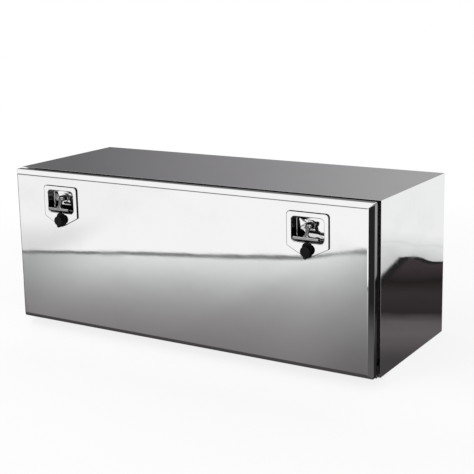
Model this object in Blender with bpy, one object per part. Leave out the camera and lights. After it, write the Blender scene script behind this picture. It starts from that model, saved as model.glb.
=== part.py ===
"""Stainless steel tool box with a drop-down door, as separate pieces at their real size.

The frame is in metres, +Z up. The origin is the middle of the underside, +X runs to the
right seen from the front and +Y runs to the back, so the door faces -Y. The door is shut
and both handles are folded down.
"""

import math

import bmesh
import bpy
from mathutils import Vector

# Body: one wrapped sheet, two end panels, and lips round the opening
BODY_WIDTH = 1.250
BODY_DEPTH = 0.456
BODY_HEIGHT = 0.490
SHEET = 0.0015
BEND_RADIUS = 0.003
PANEL_EDGE_ROUND = 0.0006
TOP_LIP = 0.042
BOTTOM_LIP = 0.050
SIDE_LIP = 0.036

# Clearances: between pieces that touch, and round a piece that turns
SEAT_GAP = 0.0003
RUN_GAP = 0.00035
CUT_OVERRUN = 0.002

# Roof channels and the wear plates behind the top lip
CHANNEL_OFFSET = 0.300
CHANNEL_WEB = 0.030
CHANNEL_FLANGE = 0.014
CHANNEL_HEIGHT = 0.020
CHANNEL_END_GAP = 0.006
KEEPER_WIDTH = 0.080
KEEPER_HEIGHT = 0.022

# Door: a bevelled pan with a return lip, and a stepped liner on the lip
DOOR_STANDOFF = 0.014
DOOR_THICKNESS = 0.030
DOOR_BEVEL = 0.014
DOOR_SIDE_REVEAL = 0.004
DOOR_BOTTOM_REVEAL = 0.004
DOOR_TOP_REVEAL = 0.001
DOOR_CORNER_RADIUS = 0.006
DOOR_CREASE_RADIUS = 0.003
DOOR_LIP = 0.056
LINER_SHEET = 0.0012
LINER_FLANGE = 0.010
LINER_STEP = 0.0042
LINER_CORNER_RADIUS = 0.010
LINER_SEAL_GAP = 0.002

# Seal: a soft ring on the body's lips
SEAL_WIDTH = 0.014
SEAL_EDGE_INSET = 0.010
SEAL_BOTTOM = 0.034
SEAL_SECTION_RADIUS = 0.004
SEAL_CORNER_RADIUS = 0.016

# Continuous hinge along the bottom edge
HINGE_AXIS_DROP = 0.007
HINGE_AXIS_HEIGHT = 0.0048
KNUCKLE_RADIUS = 0.0045
HINGE_PIN_RADIUS = 0.002
LEAF_SHEET = 0.0012
LEAF_TOP = 0.032
LEAF_NECK_LOW = 0.0055
LEAF_NECK_HIGH = 0.0095
HINGE_END_INSET = 0.006
KNUCKLE_COUNT = 25
KNUCKLE_GAP = 0.0005

# Slotted stays that hold the open door
STAY_INSET = 0.045
STAY_THICKNESS = 0.003
STAY_WIDTH = 0.020
STAY_PIVOT_DEPTH = 0.006
STAY_PIVOT_HEIGHT = 0.254
STAY_STUD_ANGLE = 20.0
DOOR_OPEN_ANGLE = 90.0
STAY_STUD_RADIUS = 0.004
STAY_COLLAR_RADIUS = 0.007
STAY_HEAD_THICKNESS = 0.003
STAY_PIN_RADIUS = 0.003
STAY_PIN_HEAD_RADIUS = 0.0055
STAY_PIN_HEAD_THICKNESS = 0.002
STAY_SLOT_MARGIN = 0.001
STAY_END_WALL = 0.006
BRACKET_SHEET = 0.0025
BRACKET_BASE_WIDTH = 0.028
BRACKET_BASE_HEIGHT = 0.044
BRACKET_EAR_RADIUS = 0.010

# Latch place, from the box's end and top, and its shield-shaped plate with a deep dish.
# The plate's and the lock's heights are taken from the spindle.
LATCH_INSET = 0.194
SPINDLE_DROP = 0.080
PLATE_THICKNESS = 0.0015
PLATE_WIDTH = 0.127
PLATE_RISE = 0.0385
PLATE_KNEE_DROP = 0.0565
PLATE_TIP_DROP = 0.089
PLATE_CORNER_RADIUS = 0.010
PLATE_KNEE_RADIUS = 0.004
PLATE_TIP_RADIUS = 0.012
WINDOW_WIDTH = 0.100
WINDOW_RISE = 0.025
WINDOW_DROP = 0.044
WINDOW_CORNER_RADIUS = 0.012
WINDOW_LIP_ROUND = 0.0012
GASKET_THICKNESS = 0.002
GASKET_EDGE_INSET = 0.0005
DISH_DEPTH = 0.0273
DISH_WALL = 0.0012
DISH_TAPER = 0.003
DISH_FLOOR_ROUND = 0.003
STUD_RADIUS = 0.002
STUD_INSET = 0.006
STUD_LOW_RISE = 0.008
STUD_LENGTH = 0.010
BACKING_SHEET = 0.0015
BACKING_MARGIN = 0.001
WELD_NUT_RADIUS = 0.0045
WELD_NUT_HEIGHT = 0.003

# Spindle, bush, handle and pawl
SHAFT_RADIUS = 0.005
BUSH_RADIUS = 0.0068
BUSH_FLANGE_RADIUS = 0.009
BUSH_FLANGE_THICKNESS = 0.0015
HUB_RADIUS = 0.013
HUB_THICKNESS = 0.006
EAR_RADIUS = 0.007
EAR_THICKNESS = 0.0045
HANDLE_PIVOT_DEPTH = 0.0058
HANDLE_BAR_DROP = 0.032
HANDLE_BAR_PROUD = 0.0084
HANDLE_BAR_RADIUS = 0.005
HANDLE_BAR_LENGTH = 0.078
HANDLE_STEM_WIDTH = 0.010
HANDLE_KNUCKLE_RADIUS = 0.0065
HANDLE_STEM_END_RADIUS = 0.0042
PIVOT_PIN_RADIUS = 0.0025
PIVOT_PIN_HEAD_RADIUS = 0.004
PIVOT_PIN_HEAD_THICKNESS = 0.001
PAWL_SETBACK = 0.004
PAWL_THICKNESS = 0.003
PAWL_TIP_GAP = 0.001
PAWL_WIDTH = 0.018
PAWL_BOSS_RADIUS = 0.011
PAWL_CORNER_RADIUS = 0.003
COLLAR_RADIUS = 0.008
COLLAR_LENGTH = 0.003
LINER_SHAFT_HOLE_RADIUS = 0.0095
NUT_RADIUS = 0.0095
NUT_THICKNESS = 0.006
SHAFT_TAIL = 0.0015

# Key lock under the dish, with its swinging cover
LOCK_DROP = 0.067
LOCK_FLANGE_RADIUS = 0.016
LOCK_FLANGE_RISE = 0.008
LOCK_FLANGE_THICKNESS = 0.0025
LOCK_BARREL_RADIUS = 0.013
LOCK_BARREL_LENGTH = 0.0085
LOCK_THREAD_RADIUS = 0.011
LOCK_THREAD_LENGTH = 0.022
LOCK_NUT_RADIUS = 0.0145
LOCK_NUT_THICKNESS = 0.005
PLUG_RADIUS = 0.008
PLUG_TAIL_RADIUS = 0.004
PLUG_TAIL_LENGTH = 0.005
KEYWAY_WIDTH = 0.0014
KEYWAY_HEIGHT = 0.009
KEYWAY_DEPTH = 0.008
CAM_THICKNESS = 0.002
CAM_BOSS_RADIUS = 0.007
CAM_TIP_RADIUS = 0.0035
CAM_REACH = 0.015
COVER_DROP = 0.0155
COVER_EAR_RADIUS = 0.0055
COVER_RADIUS = 0.015
COVER_THICKNESS = 0.005
COVER_EDGE_ROUND = 0.0015
COVER_RIVET_RADIUS = 0.002
COVER_RIVET_HEAD_RADIUS = 0.0035
COVER_RIVET_HEAD_THICKNESS = 0.0008
COVER_RIVET_BITE = 0.006

# Facets of round shapes
ROUND_SIDES = 18
SMALL_SIDES = 12
HINGE_SIDES = 8
HEX_SIDES = 6
FILLET_STEPS = 3
BEND_STEPS = 2
SMOOTH_ANGLE = math.radians(35)

# Share of the seat gap within which the points on a turned piece's axis are made one
POLE_WELD_SHARE = 0.03

# The two ends of the box, by label and by the sign of X
SIDES = (("left", -1), ("right", 1))

# Planes and places that follow from the sizes above
FRONT = -BODY_DEPTH / 2
BACK = BODY_DEPTH / 2
SIDE = BODY_WIDTH / 2
DOOR_BACK = FRONT - DOOR_STANDOFF
DOOR_FRONT = DOOR_BACK - DOOR_THICKNESS
DOOR_HALF = SIDE - DOOR_SIDE_REVEAL
DOOR_LOW = DOOR_BOTTOM_REVEAL
DOOR_HIGH = BODY_HEIGHT - DOOR_TOP_REVEAL
HINGE_AXIS = Vector((0.0, FRONT - HINGE_AXIS_DROP, HINGE_AXIS_HEIGHT))
HINGE_HALF = SIDE - HINGE_END_INSET
SEAL_LOW = Vector((-SIDE + SEAL_EDGE_INSET, SEAL_BOTTOM))
SEAL_HIGH = Vector((SIDE - SEAL_EDGE_INSET, BODY_HEIGHT - SEAL_EDGE_INSET))
LINER_INSET = Vector((SEAL_WIDTH + LINER_SEAL_GAP, SEAL_WIDTH + LINER_SEAL_GAP))
LINER_LOW = SEAL_LOW + LINER_INSET
LINER_HIGH = SEAL_HIGH - LINER_INSET
LATCH_OFFSET = SIDE - LATCH_INSET
SPINDLE_HEIGHT = BODY_HEIGHT - SPINDLE_DROP
PLATE_TOP = SPINDLE_HEIGHT + PLATE_RISE
PLATE_KNEE = SPINDLE_HEIGHT - PLATE_KNEE_DROP
PLATE_TIP = SPINDLE_HEIGHT - PLATE_TIP_DROP
WINDOW_LOW = SPINDLE_HEIGHT - WINDOW_DROP
WINDOW_HIGH = SPINDLE_HEIGHT + WINDOW_RISE
LOCK_HEIGHT = SPINDLE_HEIGHT - LOCK_DROP
LINER_FRONT = DOOR_BACK + SEAT_GAP
LINER_FIELD_BACK = LINER_FRONT + LINER_SHEET + LINER_STEP
GASKET_BACK = DOOR_FRONT - SEAT_GAP
GASKET_FRONT = GASKET_BACK - GASKET_THICKNESS
PLATE_BACK = GASKET_FRONT - SEAT_GAP
PLATE_FRONT = PLATE_BACK - PLATE_THICKNESS
DISH_FLOOR = PLATE_FRONT + DISH_DEPTH
DISH_REAR = DISH_FLOOR + DISH_WALL
HUB_REAR = DISH_FLOOR - SEAT_GAP - RUN_GAP
HUB_FRONT = HUB_REAR - HUB_THICKNESS
HANDLE_PIVOT_Y = PLATE_FRONT + HANDLE_PIVOT_DEPTH
HANDLE_BAR_Y = PLATE_FRONT - HANDLE_BAR_PROUD
HANDLE_BAR_Z = SPINDLE_HEIGHT - HANDLE_BAR_DROP
PAWL_FRONT = FRONT + PAWL_SETBACK
PAWL_BACK = PAWL_FRONT + PAWL_THICKNESS
PAWL_TOP = BODY_HEIGHT - TOP_LIP - PAWL_TIP_GAP
BACKING_FRONT = DOOR_FRONT + SHEET + SEAT_GAP
BACKING_BACK = BACKING_FRONT + BACKING_SHEET
LOCK_FLANGE_BACK = PLATE_FRONT - SEAT_GAP
LOCK_FLANGE_FRONT = LOCK_FLANGE_BACK - LOCK_FLANGE_THICKNESS
LOCK_FACE = LOCK_FLANGE_FRONT - LOCK_BARREL_LENGTH
LOCK_THREAD_END = LOCK_FLANGE_BACK + LOCK_THREAD_LENGTH
COVER_BACK = LOCK_FACE - SEAT_GAP
COVER_FRONT = COVER_BACK - COVER_THICKNESS
COVER_AXIS_HEIGHT = LOCK_HEIGHT - COVER_DROP
STAY_PLANE = SIDE - STAY_INSET
STAY_PIVOT = Vector((0.0, FRONT + STAY_PIVOT_DEPTH, STAY_PIVOT_HEIGHT))


def clear_scene():
    """Removes whatever the file held before."""
    for thing in list(bpy.data.objects):
        bpy.data.objects.remove(thing)


def make_material(name, color, metallic, roughness):
    """Makes a Principled material of one colour."""
    material = bpy.data.materials.new(name)
    material.use_nodes = True
    shader = material.node_tree.nodes["Principled BSDF"]
    shader.inputs["Base Color"].default_value = (*color, 1.0)
    shader.inputs["Metallic"].default_value = metallic
    shader.inputs["Roughness"].default_value = roughness
    return material


def make_materials():
    """Makes every material of the box, by name."""
    finishes = {
        "polished_stainless": ((0.82, 0.82, 0.83), 1.0, 0.06),
        "brushed_stainless": ((0.66, 0.66, 0.67), 1.0, 0.32),
        "plated_steel": ((0.60, 0.60, 0.58), 1.0, 0.38),
        "black_plastic": ((0.015, 0.015, 0.016), 0.0, 0.42),
        "black_rubber": ((0.012, 0.012, 0.012), 0.0, 0.75),
        "nylon": ((0.72, 0.71, 0.66), 0.0, 0.45),
        "brass": ((0.68, 0.52, 0.24), 1.0, 0.30),
    }
    return {name: make_material(name, *finish) for name, finish in finishes.items()}


def at(axis, u, v, along):
    """Puts a point of an outline, and its place along the axis, into the frame."""
    if axis == "X":
        return Vector((along, u, v))
    if axis == "Y":
        return Vector((u, along, v))
    return Vector((u, v, along))


def object_of(name, bm, material):
    """Turns a bmesh into a named object with its faces pointing out."""
    bmesh.ops.recalc_face_normals(bm, faces=bm.faces[:])
    mesh = bpy.data.meshes.new(name)
    bm.to_mesh(mesh)
    bm.free()
    mesh.materials.append(material)
    mesh.shade_smooth()
    mesh.set_sharp_from_angle(angle=SMOOTH_ANGLE)
    piece = bpy.data.objects.new(name, mesh)
    bpy.context.collection.objects.link(piece)
    return piece


def prism_into(bm, outline, axis, low, high):
    """Adds an outline extruded along one axis to a bmesh."""
    face = bm.faces.new([bm.verts.new(at(axis, u, v, low)) for u, v in outline])
    grown = bmesh.ops.extrude_face_region(bm, geom=[face])["geom"]
    lifted = [part for part in grown if isinstance(part, bmesh.types.BMVert)]
    bmesh.ops.translate(bm, verts=lifted, vec=at(axis, 0.0, 0.0, high - low))


def prism(name, outline, axis, low, high, material):
    """Makes an outline extruded along one axis."""
    bm = bmesh.new()
    prism_into(bm, outline, axis, low, high)
    return object_of(name, bm, material)


def box(name, low, high, material):
    """Makes a plain block between two corners."""
    outline = rectangle(Vector((low[0], low[1])), Vector((high[0], high[1])))
    return prism(name, outline, "Z", low[2], high[2], material)


def turned(name, profile, axis, centre, sides, material):
    """Spins a profile of (radius, place along the axis) points round an axis."""
    bm = bmesh.new()
    ring = [bm.verts.new(centre + at(axis, radius, 0.0, along)) for radius, along in profile]
    edges = [bm.edges.new(pair) for pair in zip(ring, ring[1:])]
    if profile[0][0] > 0.0:
        edges.append(bm.edges.new((ring[-1], ring[0])))
    bmesh.ops.spin(
        bm,
        geom=edges,
        cent=centre,
        axis=at(axis, 0.0, 0.0, 1.0),
        angle=math.tau,
        steps=sides,
        use_merge=True,
    )
    bmesh.ops.remove_doubles(bm, verts=bm.verts[:], dist=SEAT_GAP * POLE_WELD_SHARE)
    return object_of(name, bm, material)


def looped(name, loops, closed, material):
    """Joins loops of as many points each, capping the two ends or closing the ring."""
    bm = bmesh.new()
    rings = [[bm.verts.new(point) for point in loop] for loop in loops]
    pairs = list(zip(rings, rings[1:]))
    if closed:
        pairs.append((rings[-1], rings[0]))
    else:
        bm.faces.new(rings[0])
        bm.faces.new(rings[-1])
    for first, second in pairs:
        for start in range(len(first)):
            after = (start + 1) % len(first)
            bm.faces.new((first[start], first[after], second[after], second[start]))
    return object_of(name, bm, material)


def rectangle(low, high):
    """Gives the four corners of an upright rectangle."""
    return [low, Vector((high.x, low.y)), high, Vector((low.x, high.y))]


def filleted(corners, radii, steps):
    """Rounds the corners of a closed outline; a corner of radius 0 stays sharp."""
    points = []
    for index, corner in enumerate(corners):
        radius = radii[index]
        before = (corners[index - 1] - corner).normalized()
        after = (corners[(index + 1) % len(corners)] - corner).normalized()
        if radius <= 0.0:
            points.append(corner.copy())
            continue
        half = before.angle(after) / 2
        centre = corner + (before + after).normalized() * (radius / math.sin(half))
        start = corner + before * (radius / math.tan(half)) - centre
        end = corner + after * (radius / math.tan(half)) - centre
        turn = start.angle_signed(end)
        for step in range(steps + 1):
            angle = -turn * step / steps
            spin = Vector((math.cos(angle), math.sin(angle)))
            points.append(
                centre
                + Vector((start.x * spin.x - start.y * spin.y, start.x * spin.y + start.y * spin.x))
            )
    return points


def circle(centre, radius, sides):
    """Gives the points of a circle, starting at its right."""
    steps = [math.tau * side / sides for side in range(sides)]
    return [centre + radius * Vector((math.cos(step), math.sin(step))) for step in steps]


def hull(points):
    """Gives the outline that a band stretched round the points would take."""
    ordered = sorted((point.x, point.y) for point in points)
    halves = []
    for run in (ordered, ordered[::-1]):
        half = []
        for point in run:
            while len(half) > 1 and turn_of(half[-2], half[-1], point) <= 0.0:
                half.pop()
            half.append(point)
        halves.extend(half[:-1])
    return [Vector(point) for point in halves]


def turn_of(first, second, third):
    """Is over 0 where the path over three points turns left."""
    ahead = (second[0] - first[0]) * (third[1] - first[1])
    return ahead - (second[1] - first[1]) * (third[0] - first[0])


def rim_loop(low, high, inset, radius, y):
    """Gives one rounded rectangle in the plane at y, drawn in by inset."""
    step_in = Vector((inset, inset))
    corner = max(radius - inset, SEAT_GAP)
    outline = filleted(rectangle(low + step_in, high - step_in), [corner] * 4, FILLET_STEPS)
    return [at("Y", point.x, point.y, y) for point in outline]


def rim_solid(name, low, high, profile, radius, closed, material):
    """Sweeps a profile of (inset, y) points round a rounded rectangle."""
    loops = [rim_loop(low, high, inset, radius, y) for inset, y in profile]
    return looped(name, loops, closed, material)


def helper(piece):
    """Marks an object as a cutting or joining aid that isn't part of the box."""
    piece.hide_render = True
    piece.display_type = "WIRE"
    return piece


def combine(piece, tool, operation):
    """Cuts a tool from a piece, or joins it on, with a Boolean modifier."""
    modifier = piece.modifiers.new(tool.name, "BOOLEAN")
    modifier.operation = operation
    modifier.solver = "EXACT"
    modifier.object = helper(tool)


def cut(piece, *tools):
    """Cuts each tool from a piece."""
    for tool in tools:
        combine(piece, tool, "DIFFERENCE")


def fuse(piece, *tools):
    """Joins each tool on to a piece."""
    for tool in tools:
        combine(piece, tool, "UNION")


def rod(name, axis, centre, radius, low, high, sides, material):
    """Makes a plain round bar."""
    profile = [(0.0, low), (radius, low), (radius, high), (0.0, high)]
    return turned(name, profile, axis, centre, sides, material)


def axis_marker(name, place, parent=None):
    """Makes the empty that a moving piece turns about."""
    marker = bpy.data.objects.new(name, None)
    marker.empty_display_size = KNUCKLE_RADIUS
    bpy.context.collection.objects.link(marker)
    marker["place"] = place
    marker.location = place
    if parent is not None:
        marker.parent = parent
        marker.location = place - Vector(parent["place"])
    return marker


def hang(pieces, marker):
    """Parents pieces to a marker, with their origins on it and their places kept."""
    place = Vector(marker["place"])
    for piece in pieces:
        for vertex in piece.data.vertices:
            vertex.co -= place
        piece.parent = marker


def spread(side, near, far):
    """Gives a span of X on one side of the middle, low end first."""
    return tuple(sorted((side * near, side * far)))


def folded_section(corners, radii):
    """Rounds the section of a folded sheet."""
    return filleted([Vector(corner) for corner in corners], radii, BEND_STEPS)


def build_body_shell(steel):
    """Bottom, back and top from one sheet, with the lips above and below the opening."""
    inner_front = FRONT + SHEET
    inner_back = BACK - SHEET
    inner_top = BODY_HEIGHT - SHEET
    lip_end = BODY_HEIGHT - TOP_LIP
    corners = [
        (FRONT, lip_end),
        (inner_front, lip_end),
        (inner_front, inner_top),
        (inner_back, inner_top),
        (inner_back, SHEET),
        (inner_front, SHEET),
        (inner_front, BOTTOM_LIP),
        (FRONT, BOTTOM_LIP),
        (FRONT, 0.0),
        (BACK, 0.0),
        (BACK, BODY_HEIGHT),
        (FRONT, BODY_HEIGHT),
    ]
    inside = BEND_RADIUS - SHEET
    radii = [0.0, 0.0, *[inside] * 4, 0.0, 0.0, *[BEND_RADIUS] * 4]
    half = SIDE - SHEET - SEAT_GAP
    return prism("body_shell", folded_section(corners, radii), "X", -half, half, steel)


def build_end_panel(label, side, steel):
    """One end sheet, with the lip beside the opening."""
    low, high = spread(side, SIDE - SHEET, SIDE)
    outline = rectangle(Vector((FRONT, 0.0)), Vector((BACK, BODY_HEIGHT)))
    panel = prism(
        f"end_panel_{label}", filleted(outline, [BEND_RADIUS] * 4, BEND_STEPS), "X", low, high, steel
    )
    bm = bmesh.new()
    bm.from_mesh(panel.data)
    rim = [edge for edge in bm.edges if all(abs(v.co.x) > SIDE - SHEET / 2 for v in edge.verts)]
    bmesh.ops.bevel(
        bm,
        geom=rim,
        offset=PANEL_EDGE_ROUND,
        segments=BEND_STEPS,
        profile=0.5,
        affect="EDGES",
        material=-1,
    )
    bm.to_mesh(panel.data)
    bm.free()
    lip_low, lip_high = spread(side, SIDE - SIDE_LIP, SIDE - SHEET / 2)
    floor = BOTTOM_LIP + SEAT_GAP
    ceiling = BODY_HEIGHT - TOP_LIP - SEAT_GAP
    lip = box(
        f"side_lip_{label}",
        (lip_low, FRONT + PANEL_EDGE_ROUND / 2, floor),
        (lip_high, FRONT + SHEET, ceiling),
        steel,
    )
    fuse(panel, lip)
    return panel


def build_roof_channel(label, side, steel):
    """A hat channel spot-welded under the roof, from front to back."""
    top = BODY_HEIGHT - SHEET - SEAT_GAP
    half = CHANNEL_WEB / 2
    outer = half + CHANNEL_FLANGE
    low = top - CHANNEL_HEIGHT
    section = [
        (-outer, top - SHEET),
        (-half, top - SHEET),
        (-half, low),
        (half, low),
        (half, top - SHEET),
        (outer, top - SHEET),
        (outer, top),
        (half - SHEET, top),
        (half - SHEET, low + SHEET),
        (SHEET - half, low + SHEET),
        (SHEET - half, top),
        (-outer, top),
    ]
    outline = [(side * CHANNEL_OFFSET + u, v) for u, v in section]
    start = FRONT + CHANNEL_END_GAP
    end = BACK - SHEET - BEND_RADIUS
    return prism(f"roof_channel_{label}", outline, "Y", start, end, steel)


def build_keeper_plate(label, side, steel):
    """The plate behind the top lip that the pawl bears on."""
    half = KEEPER_WIDTH / 2
    middle = side * LATCH_OFFSET
    low = Vector((middle - half, BODY_HEIGHT - TOP_LIP))
    high = Vector((middle + half, BODY_HEIGHT - TOP_LIP + KEEPER_HEIGHT))
    start = FRONT + SHEET + SEAT_GAP
    return prism(
        f"keeper_plate_{label}", rectangle(low, high), "Y", start, start + SHEET, steel
    )


def build_seal(rubber):
    """The ring that the door shuts on."""
    low = Vector((0.0, DOOR_BACK + SEAT_GAP))
    high = Vector((SEAL_WIDTH, FRONT - SEAT_GAP))
    profile = filleted(rectangle(low, high), [SEAL_SECTION_RADIUS] * 4, BEND_STEPS)
    return rim_solid(
        "door_seal", SEAL_LOW, SEAL_HIGH, profile, SEAL_CORNER_RADIUS, True, rubber
    )


def knuckle_spans(first):
    """Gives the X span of every second knuckle."""
    pitch = 2 * HINGE_HALF / KNUCKLE_COUNT
    starts = [-HINGE_HALF + pitch * index for index in range(first, KNUCKLE_COUNT, 2)]
    return [(start + KNUCKLE_GAP / 2, start + pitch - KNUCKLE_GAP / 2) for start in starts]


def build_hinge_leaf(name, plate_y, first, steel):
    """A flat leaf with every second knuckle of the barrel; plate_y is its low side."""
    outline = rectangle(
        Vector((plate_y, LEAF_NECK_LOW)), Vector((plate_y + LEAF_SHEET, LEAF_TOP))
    )
    leaf = prism(name, outline, "X", -HINGE_HALF, HINGE_HALF, steel)
    middle = plate_y + LEAF_SHEET / 2
    neck = [Vector((middle, LEAF_NECK_LOW)), Vector((middle, LEAF_NECK_HIGH))]
    centre = Vector((HINGE_AXIS.y, HINGE_AXIS.z))
    section = hull(circle(centre, KNUCKLE_RADIUS, HINGE_SIDES) + neck)
    bm = bmesh.new()
    for low, high in knuckle_spans(first):
        prism_into(bm, section, "X", low, high)
    fuse(leaf, object_of(f"{name}_knuckles", bm, steel))
    reach = HINGE_HALF + CUT_OVERRUN
    bore_radius = HINGE_PIN_RADIUS + RUN_GAP
    cut(leaf, rod(f"{name}_bore", "X", HINGE_AXIS, bore_radius, -reach, reach, HINGE_SIDES, steel))
    return leaf


def build_hinge(steel, pin_steel):
    """Both leaves and the pin; gives the leaf that swings with the door."""
    rod("hinge_pin", "X", HINGE_AXIS, HINGE_PIN_RADIUS, -HINGE_HALF, HINGE_HALF, HINGE_SIDES, pin_steel)
    build_hinge_leaf("hinge_body_leaf", FRONT - SEAT_GAP - LEAF_SHEET, 0, steel)
    return build_hinge_leaf("hinge_door_leaf", DOOR_BACK + SEAT_GAP, 1, steel)


def latch_place(side):
    """Gives the middle of a latch on one side."""
    return Vector((side * LATCH_OFFSET, 0.0, SPINDLE_HEIGHT))


def window_corners(middle, growth):
    """Gives the low and high corner of a latch's window, grown by a margin."""
    half = WINDOW_WIDTH / 2 + growth
    low = Vector((middle.x - half, WINDOW_LOW - growth))
    high = Vector((middle.x + half, WINDOW_HIGH + growth))
    return low, high


def stud_places(middle):
    """Gives the places of a latch plate's four studs."""
    reach = PLATE_WIDTH / 2 - STUD_INSET
    heights = (PLATE_KNEE + STUD_LOW_RISE, PLATE_TOP - STUD_INSET - STUD_RADIUS)
    return [(middle.x + side * reach, height) for side in (-1, 1) for height in heights]


def latch_holes(middle):
    """Gives the outlines of the holes that one latch needs in a sheet behind its plate."""
    growth = DISH_WALL + SEAT_GAP
    radius = WINDOW_CORNER_RADIUS + growth
    window = filleted(rectangle(*window_corners(middle, growth)), [radius] * 4, FILLET_STEPS)
    lock = circle(Vector((middle.x, LOCK_HEIGHT)), LOCK_THREAD_RADIUS + SEAT_GAP, ROUND_SIDES)
    studs = [
        circle(Vector(place), STUD_RADIUS + SEAT_GAP, SMALL_SIDES) for place in stud_places(middle)
    ]
    return [window, lock, *studs]


def outline_cutter(name, outlines, low_y, high_y, steel):
    """Makes one cutter of several outlines along Y."""
    bm = bmesh.new()
    for outline in outlines:
        prism_into(bm, outline, "Y", low_y, high_y)
    return object_of(name, bm, steel)


def round_cutters(name, places, radius, low_y, high_y, sides, steel):
    """Makes one cutter of round holes along Y."""
    outlines = [circle(Vector(place), radius, sides) for place in places]
    return outline_cutter(name, outlines, low_y, high_y, steel)


def build_door_skin(steel):
    """The bevelled outer pan, with the holes that the latches need."""
    low = Vector((-DOOR_HALF, DOOR_LOW))
    high = Vector((DOOR_HALF, DOOR_HIGH))
    lap = SHEET * (math.sqrt(2.0) - 1.0)
    corners = [
        (2 * DOOR_BEVEL, DOOR_FRONT),
        (DOOR_BEVEL, DOOR_FRONT),
        (0.0, DOOR_FRONT + DOOR_BEVEL),
        (0.0, DOOR_BACK),
        (DOOR_LIP, DOOR_BACK),
        (DOOR_LIP, DOOR_BACK - SHEET),
        (SHEET, DOOR_BACK - SHEET),
        (SHEET, DOOR_FRONT + DOOR_BEVEL + lap),
        (DOOR_BEVEL + lap, DOOR_FRONT + SHEET),
        (2 * DOOR_BEVEL, DOOR_FRONT + SHEET),
    ]
    inside = DOOR_CREASE_RADIUS - SHEET
    radii = [0.0, *[DOOR_CREASE_RADIUS] * 3, 0.0, 0.0, *[inside] * 3, 0.0]
    profile = folded_section(corners, radii)
    skin = rim_solid("door_skin", low, high, profile, DOOR_CORNER_RADIUS, False, steel)
    start = DOOR_FRONT - CUT_OVERRUN
    end = DOOR_FRONT + SHEET + CUT_OVERRUN
    holes = [outline for _, side in SIDES for outline in latch_holes(latch_place(side))]
    cut(skin, outline_cutter("skin_latch_holes", holes, start, end, steel))
    return skin


def build_door_liner(steel):
    """The stepped inner sheet, welded to the pan's lip, with a hole for each spindle."""
    flange_back = LINER_FRONT + LINER_SHEET
    lap = LINER_SHEET * (math.sqrt(2.0) - 1.0)
    step_end = LINER_FLANGE + LINER_STEP
    profile = [
        (step_end, LINER_FIELD_BACK),
        (LINER_FLANGE, flange_back),
        (0.0, flange_back),
        (0.0, LINER_FRONT),
        (LINER_FLANGE + lap, LINER_FRONT),
        (step_end + lap, LINER_FIELD_BACK - LINER_SHEET),
    ]
    liner = rim_solid(
        "door_liner", LINER_LOW, LINER_HIGH, profile, LINER_CORNER_RADIUS, False, steel
    )
    places = [(side * LATCH_OFFSET, SPINDLE_HEIGHT) for _, side in SIDES]
    start = LINER_FRONT - CUT_OVERRUN
    end = LINER_FIELD_BACK + CUT_OVERRUN
    cut(
        liner,
        round_cutters(
            "liner_shaft_holes", places, LINER_SHAFT_HOLE_RADIUS, start, end, ROUND_SIDES, steel
        ),
    )
    return liner


def shield_outline(middle, inset):
    """Gives the latch plate's outline, drawn in by inset: square above, a blunt point below."""
    slope = (PLATE_KNEE - PLATE_TIP) / (PLATE_WIDTH / 2)
    half = PLATE_WIDTH / 2 - inset
    tip = PLATE_TIP + inset * math.sqrt(1.0 + slope * slope)
    knee = tip + slope * half
    top = PLATE_TOP - inset
    corners = [
        Vector((middle.x - half, knee)),
        Vector((middle.x, tip)),
        Vector((middle.x + half, knee)),
        Vector((middle.x + half, top)),
        Vector((middle.x - half, top)),
    ]
    radii = [
        PLATE_KNEE_RADIUS,
        PLATE_TIP_RADIUS,
        PLATE_KNEE_RADIUS,
        PLATE_CORNER_RADIUS,
        PLATE_CORNER_RADIUS,
    ]
    return filleted(corners, radii, FILLET_STEPS)


def dish_profile(growth):
    """Gives the dish's wall as (inset, y) points, grown by a wall's thickness."""
    lip = WINDOW_LIP_ROUND
    half_round = lip * (1.0 - math.sqrt(0.5))
    floor = DISH_FLOOR + growth
    foot = DISH_TAPER * (1.0 - DISH_FLOOR_ROUND / DISH_DEPTH)
    return [
        (-growth, PLATE_FRONT + lip),
        (foot - growth, floor - DISH_FLOOR_ROUND),
        (DISH_TAPER + DISH_FLOOR_ROUND * (1.0 - math.sqrt(0.5)) - growth, floor - half_round),
        (DISH_TAPER + DISH_FLOOR_ROUND - growth, floor),
    ]


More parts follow.
